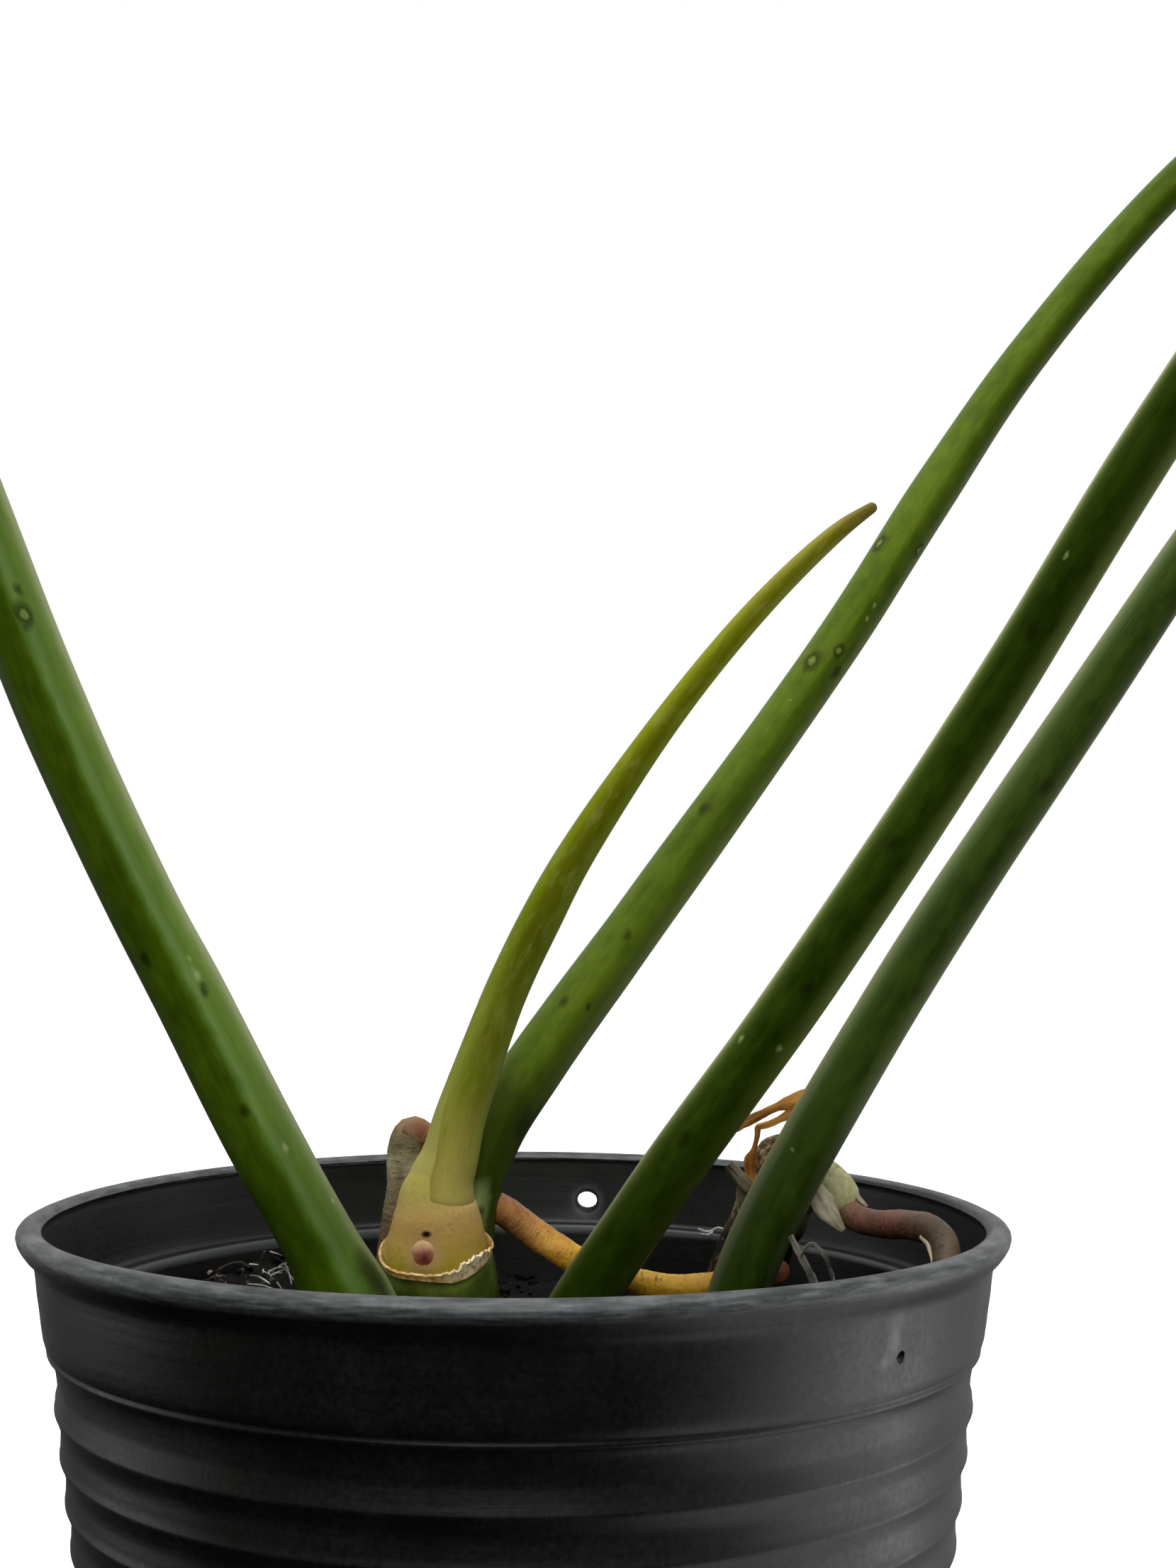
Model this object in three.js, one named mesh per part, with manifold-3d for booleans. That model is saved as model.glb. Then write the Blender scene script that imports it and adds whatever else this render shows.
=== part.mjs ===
// A potted philodendron with long three-lobed leaves: four leaves, one new shoot and the stump
// of an old stem, in a thin black nursery pot.
// Millimetres, +Z up. The origin is the centre of the pot's base, on the surface it stands on.
// +X is to the right and +Y is to the back, as the plant is seen from its front.

import * as THREE from 'three';
import { mergeGeometries, mergeVertices } from 'three/addons/utils/BufferGeometryUtils.js';
import Module from 'manifold-3d';

const wasm = await Module();
wasm.setup();

// Driving dimensions of the pot. A drop is measured down from the top of the lip.
const POT_HEIGHT = 95;
const LIP_RADIUS = 54;
const MOUTH_RADIUS = 51.4;
const SHOULDER_DROP = 14.4;
const SHOULDER_RADIUS = 49.6;
const BASE_RADIUS = 39.8;
const FIRST_RING_DROP = 20.3;
const RING_PITCH = 4.75;
const RING_STEP = 2.4;
const RING_LEAN = 0.1;
const RING_COUNT = 15;
const WALL = 1;
const FLOOR = 1.6;
const LEDGE_DROP = 9.1;
const LEDGE_RADIUS = 48.4;
const LEDGE_WIDTH = 2.1;
const EDGE = 0.6;
const FOOT_WIDTH = 4;
const FOOT_RECESS = 1.2;
const PAD_RADIUS = 13;
const DRAIN_HOLES = 6;
const DRAIN_RADIUS = 4;
const DRAIN_CIRCLE = 25;
const POT_SIDES = 40;

// Two holes punched by hand through the band under the lip
const PUNCHED_HOLES = [
  { radius: 1.7, centre: [7.6, 50, POT_HEIGHT - 5.5], direction: [0.15, 1, 0] },
  { radius: 1.1, centre: [36.7, -35.7, POT_HEIGHT - 7.3], direction: [0.72, -0.69, 0] },
];

// Driving dimensions of the soil
const SOIL_LEVEL = 80;
const SOIL_SIDES = 30;
const SOIL_RINGS = 7;

// Clearance between pieces that touch
const GAP = 0.3;

// Colours, as hexadecimal sRGB
const COLOURS = {
  blackPlastic: 0x2a2c2e,
  soil: 0x1c1814,
  stem: 0x6c7a2c,
  tornSheath: 0xd8b468,
  bud: 0xa8584a,
  shoot: 0x9aa63c,
  petiole: 0x4c7a2c,
  blade: 0x22502a,
  greyRoot: 0x8c8466,
  yellowRoot: 0xd0902c,
  brownRoot: 0x8a5a42,
  oldStem: 0xb4bc78,
  orangeSheath: 0xc88434,
  paleSheath: 0xd8ccae,
  driedFibre: 0x7c7464,
};

const radians = THREE.MathUtils.degToRad;
const lerp = THREE.MathUtils.lerp;
const smoothstep = THREE.MathUtils.smoothstep;

// Meshes and solids

// Merges shared vertices and drops the triangles that merging leaves without area.
function weld(geometry) {
  geometry.deleteAttribute('normal');
  geometry.deleteAttribute('uv');
  const merged = mergeVertices(geometry, 1e-3);
  const index = merged.index.array;
  const kept = [];
  for (let i = 0; i < index.length; i += 3) {
    const [a, b, c] = [index[i], index[i + 1], index[i + 2]];
    if (a !== b && b !== c && c !== a) {
      kept.push(a, b, c);
    }
  }
  merged.setIndex(kept);
  return merged;
}

function toSolid(geometry) {
  const merged = weld(geometry);
  return new wasm.Manifold(new wasm.Mesh({
    numProp: 3,
    vertProperties: new Float32Array(merged.attributes.position.array),
    triVerts: new Uint32Array(merged.index.array),
  }));
}

function toGeometry(solid) {
  const mesh = solid.getMesh();
  const geometry = new THREE.BufferGeometry();
  geometry.setAttribute('position', new THREE.BufferAttribute(mesh.vertProperties, 3));
  geometry.setIndex(new THREE.BufferAttribute(mesh.triVerts, 1));
  return geometry;
}

function cut(solid, ...cutters) {
  return cutters.reduce((rest, cutter) => rest.subtract(cutter), solid);
}

function join(first, ...others) {
  return others.reduce((sum, other) => sum.add(other), first);
}

// A round piece about the vertical axis. The profile holds [radius, height] pairs, outside upwards.
function turned(profile, sides) {
  const points = profile.map(([radius, height]) => new THREE.Vector2(radius, height));
  return new THREE.LatheGeometry(points, sides).rotateX(Math.PI / 2);
}

function cylinder(radius, length, sides, position, direction) {
  const geometry = new THREE.CylinderGeometry(radius, radius, length, sides);
  const turn = new THREE.Quaternion().setFromUnitVectors(
    new THREE.Vector3(0, 1, 0), new THREE.Vector3(...direction).normalize());
  geometry.applyQuaternion(turn);
  geometry.translate(...position);
  return toSolid(geometry);
}

// A stalk is a straight turned rod of unit length, bent onto a route. Each route point is
// [x, y, z, radius]. A flat strip has flatness under 1 and faces the given direction.
function stalk({ route, sides, steps, flatness = 1, facing = null, grow = 0, roundEnd = true }) {
  const curve = new THREE.CatmullRomCurve3(
    route.map(([x, y, z]) => new THREE.Vector3(x, y, z)), false, 'centripetal');
  const DIVISIONS_PER_POINT = 20;
  const last = route.length - 1;
  const lengths = curve.getLengths(DIVISIONS_PER_POINT * last);
  const total = lengths[lengths.length - 1];
  const marks = route.map((point, i) => lengths[i * DIVISIONS_PER_POINT] / total);
  const radiusAt = (t) => {
    let i = 1;
    while (i < last && marks[i] < t) {
      i += 1;
    }
    const part = (t - marks[i - 1]) / (marks[i] - marks[i - 1]);
    return lerp(route[i - 1][3], route[i][3], part) + grow;
  };
  const extra = grow / total;
  const profile = [new THREE.Vector2(0, -extra)];
  for (let i = 0; i <= steps; i += 1) {
    const t = i / steps;
    profile.push(new THREE.Vector2(radiusAt(t), lerp(-extra, 1 + extra, t)));
  }
  const endRadius = radiusAt(1);
  if (roundEnd) {
    // A dome of two rings within the last radius of the rod
    profile[steps + 1].y -= (0.9 * endRadius) / total;
    profile.push(new THREE.Vector2(0.7 * endRadius, 1 + extra - (0.25 * endRadius) / total));
  }
  profile.push(new THREE.Vector2(0, 1 + extra));

  const frames = curve.computeFrenetFrames(steps, false);
  const rod = new THREE.LatheGeometry(profile, sides);
  const position = rod.attributes.position;
  const vertex = new THREE.Vector3();
  for (let i = 0; i < position.count; i += 1) {
    vertex.fromBufferAttribute(position, i);
    const t = THREE.MathUtils.clamp(vertex.y, 0, 1);
    const tangent = curve.getTangentAt(t);
    const depth = facing
      ? new THREE.Vector3(...facing).projectOnPlane(tangent).normalize()
      : frames.normals[Math.min(steps, Math.round(t * steps))].clone();
    const side = tangent.clone().cross(depth);
    const bent = curve.getPointAt(t)
      .addScaledVector(tangent, (vertex.y - t) * total)
      .addScaledVector(side, vertex.x)
      .addScaledVector(depth, vertex.z * flatness);
    position.setXYZ(i, bent.x, bent.y, bent.z);
  }
  return rod;
}

// Closes an open sheet into a thin solid, with the same triangles on both faces.
function thicken(sheet) {
  sheet.computeVertexNormals();
  const { position, normal, thickness } = sheet.attributes;
  const count = position.count;
  const index = Array.from(sheet.index.array);
  const points = new Float32Array(count * 6);
  for (let i = 0; i < count; i += 1) {
    const half = thickness.getX(i) / 2;
    for (let axis = 0; axis < 3; axis += 1) {
      const middle = position.getComponent(i, axis);
      const shift = normal.getComponent(i, axis) * half;
      points[3 * i + axis] = middle + shift;
      points[3 * (count + i) + axis] = middle - shift;
    }
  }
  const triangles = [];
  const edges = new Map();
  for (let i = 0; i < index.length; i += 3) {
    const [a, b, c] = index.slice(i, i + 3);
    triangles.push(a, b, c, count + c, count + b, count + a);
    for (const [from, to] of [[a, b], [b, c], [c, a]]) {
      if (!edges.delete(`${to},${from}`)) {
        edges.set(`${from},${to}`, [from, to]);
      }
    }
  }
  for (const [from, to] of edges.values()) {
    triangles.push(from, count + from, count + to, from, count + to, to);
  }
  const solid = new THREE.BufferGeometry();
  solid.setAttribute('position', new THREE.BufferAttribute(points, 3));
  solid.setIndex(triangles);
  return solid;
}

// The pot

const ringHeight = (ring) => POT_HEIGHT - FIRST_RING_DROP - (ring - 1) * RING_PITCH;
const ringRadius = (ring) => lerp(SHOULDER_RADIUS, BASE_RADIUS, ring / RING_COUNT);

function potSolid() {
  const top = POT_HEIGHT;
  const underside = [
    [0, 0],
    [PAD_RADIUS, 0],
    [PAD_RADIUS + FOOT_RECESS, FOOT_RECESS],
    [BASE_RADIUS - FOOT_WIDTH - FOOT_RECESS, FOOT_RECESS],
    [BASE_RADIUS - FOOT_WIDTH, 0],
  ];
  const foot = [
    [BASE_RADIUS - EDGE, 0],
    [BASE_RADIUS, EDGE],
    [BASE_RADIUS, ringHeight(RING_COUNT)],
  ];
  const rings = [];
  for (let ring = RING_COUNT - 1; ring >= 0; ring -= 1) {
    const bandTop = ring === 0 ? top - SHOULDER_DROP : ringHeight(ring);
    rings.push([ringRadius(ring) - RING_LEAN, ringHeight(ring + 1) + RING_STEP]);
    rings.push([ringRadius(ring), bandTop]);
  }
  const bandUnderLip = [
    [50.7, top - 12],
    [51.5, top - 8],
    [52.1, top - 3.9],
  ];
  const lip = [
    [53.2, top - 2.4],
    [LIP_RADIUS, top - 0.9],
    [LIP_RADIUS - EDGE, top],
    [MOUTH_RADIUS + EDGE, top],
    [MOUTH_RADIUS, top - EDGE],
  ];
  const inside = [
    [LEDGE_RADIUS + LEDGE_WIDTH, top - LEDGE_DROP + EDGE],
    [LEDGE_RADIUS, top - LEDGE_DROP],
    [BASE_RADIUS - WALL, FOOT_RECESS + FLOOR],
    [0, FOOT_RECESS + FLOOR],
  ];
  const profile = [...underside, ...foot, ...rings, ...bandUnderLip, ...lip, ...inside];
  const THROUGH = 8;
  const drains = Array.from({ length: DRAIN_HOLES }, (_, i) => {
    const angle = (i * 2 * Math.PI) / DRAIN_HOLES;
    const centre = [DRAIN_CIRCLE * Math.cos(angle), DRAIN_CIRCLE * Math.sin(angle), FLOOR];
    return cylinder(DRAIN_RADIUS, THROUGH, 12, centre, [0, 0, 1]);
  });
  const punched = PUNCHED_HOLES.map(
    ({ radius, centre, direction }) => cylinder(radius, THROUGH, 10, centre, direction));
  return cut(toSolid(turned(profile, POT_SIDES)), ...drains, ...punched);
}

// The plant

// Petiole routes start under the soil and end at the blade. Radii include the taper.
const PETIOLES = {
  petiole_left: [
    [-13.2, -9.4, 73, 4.2], [-15.2, -9.7, 82, 4.4], [-19.5, -10.5, 92.3, 4.3],
    [-26.7, -13, 104.9, 4.2], [-34.2, -16, 120, 4.0], [-47.4, -22, 149, 3.7],
    [-58, -31, 180, 3.4], [-67.5, -42, 208, 3.0], [-79, -54, 231, 2.6],
  ],
  petiole_back: [
    [-6.4, 6.5, 90.6, 3.4], [-6.2, 7, 94.8, 3.55], [-3.5, 10, 102.6, 3.6], [1.6, 15, 110.6, 3.65],
    [14.3, 25, 127.8, 3.5], [42.8, 42, 167.2, 3.2], [72.7, 55, 211.7, 3.0],
    [97.4, 62, 240.7, 2.9], [126, 70, 266, 2.7], [153, 77, 283, 2.5],
  ],
  petiole_middle: [
    [2.4, 1.4, 73, 3.3], [4.6, 2.2, 80, 3.5], [14.4, 0, 95.7, 3.5], [31.1, -6.5, 119.6, 3.35],
    [49.9, -18, 149.6, 3.1], [64.3, -33, 175.7, 2.9], [80, -54, 201, 2.7], [98, -80, 223, 2.5],
    [113, -101, 236, 2.3],
  ],
  petiole_right: [
    [21.5, 4, 73, 3.3], [23.6, 4, 81, 3.4], [27.3, 4, 91.2, 3.45], [44, 6.5, 119.3, 3.4],
    [67.8, 11, 153.3, 3.1], [92, 16, 186, 2.8], [118, 21, 214, 2.5], [140, 25, 230, 2.3],
  ],
};

const STEM_ROUTE = [
  [-9.0, 2.4, 66, 6.4], [-9.0, 2.2, 80, 6.8], [-9.1, 2, 86, 6.6], [-9.4, 1.4, 90, 6.1],
  [-9.5, 0.8, 92.6, 5.3], [-9.4, 0.2, 95.7, 4.4],
];

const SHOOT_ROUTE = [
  [-9.3, 0.1, 96.1, 4.3], [-8.5, 0, 99.7, 3.55], [-5.8, 0, 107.5, 2.95], [-1.5, 0, 119.5, 2.45],
  [2.3, 0, 127.5, 2.4], [6.7, 0.5, 135.6, 2.15], [17.9, 1, 152, 1.5], [28.4, 2, 164.7, 1.4],
  [37.2, 2.5, 173.2, 1.0], [41.5, 2.6, 176.2, 0.35],
];

const ROOTS = {
  root_loop: {
    colour: COLOURS.greyRoot,
    route: [
      [-9.5, 6, 87, 1.7], [-9.4, 12.5, 89.6, 1.9], [-9.2, 16, 96, 2.0], [-10.2, 16, 101.6, 2.0],
      [-12.2, 15.5, 103.2, 2.0], [-14.1, 15, 101, 2.0], [-14.7, 14.4, 95, 2.0],
      [-15.6, 13.6, 88, 1.9], [-16.6, 12.6, 80, 1.8], [-17, 12, 74, 1.6],
    ],
  },
  root_yellow: {
    colour: COLOURS.yellowRoot,
    route: [
      [-6, 6, 95.6, 1.6], [-2.6, 9, 94.2, 1.65], [1.2, 11, 91.2, 1.6], [5.4, 11.4, 88.5, 1.6],
      [9.5, 11.2, 86.4, 1.55], [14, 10.6, 85.3, 1.5], [19, 9.8, 85, 1.45],
      [26, 9.5, 85.8, 1.35], [31.2, 9.4, 87.1, 1.2],
    ],
  },
  root_right: {
    colour: COLOURS.brownRoot,
    route: [
      [38, 12.8, 93.8, 1.4], [39.8, 10.4, 93, 1.4], [41.6, 7, 93, 1.45], [44, 2, 93.7, 1.5],
      [45.9, -2.6, 93.8, 1.6], [46.8, -5.4, 92.4, 1.6], [46.5, -7.4, 89.5, 1.6],
      [44.8, -9, 85, 1.55], [43.2, -10, 80, 1.5], [42, -10, 75, 1.3],
    ],
  },
};

const OLD_STEM_ROUTE = [
  [22.5, 18, 70, 4.2], [25, 17.6, 80, 4.4], [28.6, 16.6, 89.5, 4.4], [31.2, 15.8, 95.6, 4.6],
  [32.6, 15.4, 100, 4.5], [33.2, 15.2, 102.8, 3.2],
];

// A swelling on the right of the old stem, which carries the brown root
const SIDE_SWELLING_ROUTE = [
  [32.5, 15, 97.6, 3.2], [35.8, 13.8, 96.4, 3.1], [38.4, 12.8, 94.4, 2.4], [39.4, 12.4, 93.2, 1.7],
];

function rounded(route, sides, steps, grow = 0, roundEnd = true) {
  return toSolid(stalk({ route, sides, steps, grow, roundEnd }));
}

const stem = rounded(STEM_ROUTE, 16, 10, 0, false);
const stemClearance = rounded(STEM_ROUTE, 16, 10, GAP, false);
const shootWith = (grow) => rounded(SHOOT_ROUTE, 10, 20, grow);
const shootClearance = shootWith(GAP);
const oldStemWith = (grow) => join(
  rounded(OLD_STEM_ROUTE, 12, 12, grow), rounded(SIDE_SWELLING_ROUTE, 9, 5, grow));
const oldStem = oldStemWith(0);
const oldStemClearance = oldStemWith(GAP);

const PETIOLE_SIDES = 10;
const PETIOLE_STEPS = 22;
const petioles = {};
const petioleClearances = {};
for (const [name, route] of Object.entries(PETIOLES)) {
  petioles[name] = rounded(route, PETIOLE_SIDES, PETIOLE_STEPS);
  petioleClearances[name] = rounded(route, PETIOLE_SIDES, PETIOLE_STEPS, GAP);
}
petioles.petiole_back = cut(petioles.petiole_back, stemClearance, shootClearance);

const ROOT_SIDES = 8;
const ROOT_STEPS = 18;
const roots = {};
const rootClearances = {};
for (const [name, { route }] of Object.entries(ROOTS)) {
  const carriers = [stemClearance, petioleClearances.petiole_back, oldStemClearance];
  roots[name] = cut(rounded(route, ROOT_SIDES, ROOT_STEPS), ...carriers);
  rootClearances[name] = rounded(route, ROOT_SIDES, ROOT_STEPS, GAP);
}

// The torn sheath is a ragged band that wraps the front of the node, low at the front and
// high at both sides.
function tornSheathSolid() {
  const FRONT = radians(-95);
  const REACH = radians(118);
  const CENTRE_X = -9.3;
  const CENTRE_Y = 1.5;
  const LOW = 88;
  const LOW_RADIUS = 6.9;
  const RISE = 3.9;
  const HIGH_RADIUS = 5.85;
  const POINTS = 15;
  const route = [];
  for (let i = 0; i < POINTS; i += 1) {
    const turn = lerp(-REACH, REACH, i / (POINTS - 1));
    const angle = FRONT + turn;
    const risen = (1 - Math.cos(turn)) / (1 - Math.cos(REACH));
    const height = LOW + RISE * risen + 0.25 * Math.sin(i * 2.3);
    const radius = lerp(LOW_RADIUS, HIGH_RADIUS, risen);
    const thick = 0.75 + 0.2 * Math.sin(i * 1.7);
    const x = CENTRE_X + radius * Math.cos(angle);
    const y = CENTRE_Y + radius * Math.sin(angle);
    route.push([x, y, height, thick]);
  }
  return cut(rounded(route, 6, 24), stemClearance, petioleClearances.petiole_back);
}

// The bud is a low pointed dome on the front of the node.
function budSolid() {
  const dome = new THREE.SphereGeometry(1.7, 12, 8);
  dome.scale(0.95, 0.9, 1.15);
  dome.translate(-10.4, -4.3, 90.6);
  return cut(toSolid(dome), stemClearance);
}

// Dried sheath on the left of the stump: a forked orange ribbon on a stalk, over brown scales.
function orangeSheathSolid() {
  const FRONT_FACE = [0.1, -1, 0.15];
  const strip = (route, steps) => toSolid(stalk({
    route, sides: 6, steps, flatness: 0.35, facing: FRONT_FACE,
  }));
  const foot = strip([
    [27.4, 12, 94.4, 1.1], [27.6, 11.4, 97, 1.5], [27.6, 11, 99.6, 1.2], [28, 10.4, 102.6, 0.7],
  ], 8);
  const upper = strip([
    [25.4, 10.6, 102.7, 0.45], [27.6, 10.4, 103.6, 0.7], [31.2, 10.6, 105.4, 0.9],
    [35.4, 11, 107.5, 1.2],
  ], 9);
  const lower = strip([
    [28, 10.2, 102.4, 0.6], [29.4, 10.3, 103.4, 0.7], [32, 10.6, 104.8, 0.8],
    [35, 11, 106.8, 1.1],
  ], 8);
  return cut(join(foot, upper, lower), oldStemClearance, petioleClearances.petiole_right);
}

// Grey-brown strips of dried sheath that stand at the left foot of the stump.
function greySheathSolid() {
  const strip = (route) => toSolid(stalk({
    route, sides: 6, steps: 9, flatness: 0.35, facing: [-0.5, -1, 0],
  }));
  const left = strip([[25.4, 13, 89, 0.8], [24.7, 11.8, 93.5, 1.0], [24.7, 9.8, 99.2, 0.5]]);
  const leaning = strip([[24.8, 9.7, 99, 0.5], [26.2, 9.5, 97.2, 0.8], [27.4, 9.6, 95.8, 0.6]]);
  return cut(join(left, leaning), oldStemClearance, petioleClearances.petiole_right);
}

// Pale papery scales on the right of the stump.
function paperySheathSolid() {
  const scale = (route, facing) => toSolid(stalk({
    route, sides: 8, steps: 10, flatness: 0.22, facing,
  }));
  const front = scale([
    [34.6, 9.7, 96.6, 0.9], [35.4, 9.6, 94.4, 1.9], [36.6, 9.5, 92.6, 1.3], [37.9, 9.4, 91, 0.35],
  ], [0.4, -1, 0.1]);
  const side = scale([
    [34.8, 9.7, 95.6, 0.8], [37.6, 9.8, 96.8, 0.8], [39.8, 10.6, 95.7, 0.8], [41.6, 11.2, 93.9, 0.3],
  ], [0.5, -0.9, 0.2]);
  const spared = [oldStemClearance, petioleClearances.petiole_right, rootClearances.root_right];
  return cut(join(front, side), ...spared);
}

function driedFibreSolid() {
  return toSolid(stalk({
    route: [
      [34.4, -2.6, 77, 0.7], [32.4, -2.4, 86.4, 0.75], [30.8, -2.2, 91.6, 0.8],
      [31.8, -2.9, 92.4, 0.7], [33.3, -3.8, 91.8, 0.8], [34.5, -4.2, 88.6, 0.6],
      [36, -4.6, 80, 0.5], [36.4, -4.8, 77, 0.5],
    ],
    sides: 6,
    steps: 20,
    flatness: 0.7,
    facing: [0, -1, 0],
  }));
}

// The leaf blades

// Each blade has a long front lobe and two back lobes, with a concave corner between lobes.
// A half lobe is a grid from its midrib to its margin. Its first row runs from the hub to the
// corner, which it shares with its neighbour, and later rows follow the side veins.
const BLADE = {
  corner: 17,
  sinus: 5,
  ribThickness: 2.2,
  marginThickness: 0.7,
  ribReach: 4.5,
  keel: 0.16,
  crease: 1.1,
  wave: 2.6,
  waveLength: 41,
  rowsAcross: 3,
};

const BLADES = {
  blade_left: {
    junction: [-80, -55, 232.4], heading: 214, dip: 70, roll: 6,
    front: 226, frontWidth: 24, back: 118, backWidth: 15, spread: 117, curl: 0.0016, phase: 0.4,
  },
  blade_back: {
    junction: [154.6, 76.6, 284], heading: -30, dip: 62, roll: 6,
    front: 226, frontWidth: 23, back: 112, backWidth: 14, spread: 120, curl: 0.0018, phase: 1.9,
  },
  blade_middle: {
    junction: [114, -102.4, 236.8], heading: -54, dip: 68, roll: 4,
    front: 218, frontWidth: 23, back: 108, backWidth: 14, spread: 116, curl: 0.0017, phase: 3.1,
  },
  blade_right: {
    junction: [141.6, 25, 230.8], heading: -12, dip: 72, roll: 10,
    front: 196, frontWidth: 21, back: 98, backWidth: 13, spread: 118, curl: 0.0019, phase: 4.6,
  },
};

// Half-width of a lobe where part runs from 0 at its corner to 1 at its tip.
function halfWidth(part, atCorner, widest) {
  const RISE_POWER = 0.55;
  const FALL_POWER = 1.05;
  const PEAK = 0.357;
  const body = (part ** RISE_POWER * (1 - part) ** FALL_POWER) / PEAK;
  return atCorner * (1 - part) ** 3 + widest * body;
}

function halfLobe(blade, { length, width, angle, side, cornerAngle, cornerLength, veins }) {
  const rows = veins * 2;
  const grid = new THREE.PlaneGeometry(1, 1, BLADE.rowsAcross, rows);
  const { position, uv } = grid.attributes;
  const thickness = new Float32Array(position.count);
  const along = new THREE.Vector2(Math.cos(angle), Math.sin(angle));
  const across = new THREE.Vector2(-Math.sin(angle), Math.cos(angle)).multiplyScalar(side);
  const offset = Math.abs(cornerAngle - angle);
  const startAlong = cornerLength * Math.cos(offset);
  const startAcross = cornerLength * Math.sin(offset);
  for (let i = 0; i < position.count; i += 1) {
    const u = 1 - uv.getY(i);
    const v = uv.getX(i);
    const settled = smoothstep(u, 0, 0.2);
    const marginAlong = lerp(startAlong, length, u ** 0.8);
    const part = (marginAlong - startAlong) / (length - startAlong);
    const marginAcross = halfWidth(part, startAcross, width);
    const ribAlong = length * u;
    const reach = Math.hypot(marginAlong - ribAlong, marginAcross);
    const s = lerp(ribAlong, marginAlong, v);
    const w = v * marginAcross;
    const flat = along.clone().multiplyScalar(s).addScaledVector(across, w);
    const keel = BLADE.keel * v * lerp(cornerLength, marginAcross, settled);
    const crease = -BLADE.crease * Math.cos(2 * Math.PI * veins * u) * Math.sin(Math.PI * v);
    const waves = marginAlong / BLADE.waveLength;
    const wave = BLADE.wave * v ** 2 * Math.sin(2 * Math.PI * waves + blade.phase + side);
    const fade = settled * (1 - u ** 6);
    const height = keel + (crease + wave) * fade;

    // The whole blade droops along a circular arc away from the hub.
    const distance = flat.length();
    const droop = blade.curl * distance;
    const outward = distance > 0 ? flat.clone().divideScalar(distance) : new THREE.Vector2(1, 0);
    const reachFlat = Math.sin(droop) / blade.curl + height * Math.sin(droop);
    const drop = (1 - Math.cos(droop)) / blade.curl - height * Math.cos(droop);
    position.setXYZ(i, outward.x * reachFlat, outward.y * reachFlat, -drop);

    const fromRib = v * reach;
    const rib = (BLADE.ribThickness - BLADE.marginThickness) * (1 - 0.6 * u);
    thickness[i] = BLADE.marginThickness + rib * Math.exp(-((fromRib / BLADE.ribReach) ** 2));
  }
  grid.setAttribute('thickness', new THREE.BufferAttribute(thickness, 1));
  if (side > 0) {
    const index = grid.index.array;
    for (let i = 0; i < index.length; i += 3) {
      [index[i], index[i + 1]] = [index[i + 1], index[i]];
    }
  }
  return grid;
}

function bladeGeometry(blade) {
  const spread = radians(blade.spread);
  const corner = spread * 0.53;
  const front = { length: blade.front, width: blade.frontWidth, veins: 11 };
  const back = { length: blade.back, width: blade.backWidth, veins: 6 };
  const halves = [];
  for (const side of [1, -1]) {
    const outer = { cornerAngle: side * corner, cornerLength: BLADE.corner };
    const inner = { cornerAngle: side * Math.PI, cornerLength: BLADE.sinus };
    halves.push(halfLobe(blade, { ...front, ...outer, angle: 0, side }));
    halves.push(halfLobe(blade, { ...back, ...outer, angle: side * spread, side: -side }));
    halves.push(halfLobe(blade, { ...back, ...inner, angle: side * spread, side }));
  }
  const solid = thicken(weld(mergeGeometries(halves)));
  const heading = radians(blade.heading);
  const dip = radians(blade.dip);
  const forward = new THREE.Vector3(
    Math.cos(heading) * Math.cos(dip), Math.sin(heading) * Math.cos(dip), -Math.sin(dip));
  const normal = new THREE.Vector3(
    Math.cos(heading) * Math.sin(dip), Math.sin(heading) * Math.sin(dip), Math.cos(dip));
  normal.applyAxisAngle(forward, radians(blade.roll));
  const left = normal.clone().cross(forward);
  solid.applyMatrix4(new THREE.Matrix4().makeBasis(forward, left, normal));
  solid.translate(...blade.junction);
  return solid;
}

// The soil

// A mound at the back left, and low clods everywhere.
function soilRise(x, y) {
  const mound = 4.6 * Math.exp(-((x + 33) ** 2 + (y - 28) ** 2) / 420);
  const clods = 0.7 * Math.sin(0.31 * x + 0.7) * Math.cos(0.37 * y);
  const crumbs = 0.4 * Math.sin(0.83 * x - 0.61 * y);
  return mound + clods + crumbs;
}

function soilSolid() {
  const EDGE_DROP = 2;
  const CROWN_INSET = 0.6;
  const floorHeight = FOOT_RECESS + FLOOR + GAP;
  const floorRadius = BASE_RADIUS - WALL - GAP;
  const wallHeight = POT_HEIGHT - LEDGE_DROP - floorHeight;
  const edgeHeight = SOIL_LEVEL - EDGE_DROP;
  const edgeShare = (edgeHeight - floorHeight) / wallHeight;
  const edgeRadius = lerp(floorRadius, LEDGE_RADIUS - GAP, edgeShare) - GAP;
  const profile = [[0, floorHeight], [floorRadius, floorHeight], [edgeRadius, edgeHeight]];
  for (let ring = SOIL_RINGS; ring >= 0; ring -= 1) {
    profile.push([(ring / SOIL_RINGS) * (edgeRadius - CROWN_INSET), SOIL_LEVEL]);
  }
  const heap = turned(profile, SOIL_SIDES);
  const position = heap.attributes.position;
  for (let i = 0; i < position.count; i += 1) {
    if (position.getZ(i) > edgeHeight) {
      position.setZ(i, SOIL_LEVEL + soilRise(position.getX(i), position.getY(i)));
    }
  }
  const standing = Object.values(petioleClearances).concat(Object.values(rootClearances));
  const fibreHoles = [[34, -2.6], [36.1, -4.7]].map(
    ([x, y]) => cylinder(1.6, 10, 8, [x, y, SOIL_LEVEL], [0, 0, 1]));
  return cut(toSolid(heap), stemClearance, oldStemClearance, ...standing, ...fibreHoles);
}

// The object

const plant = new THREE.Group();

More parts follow.
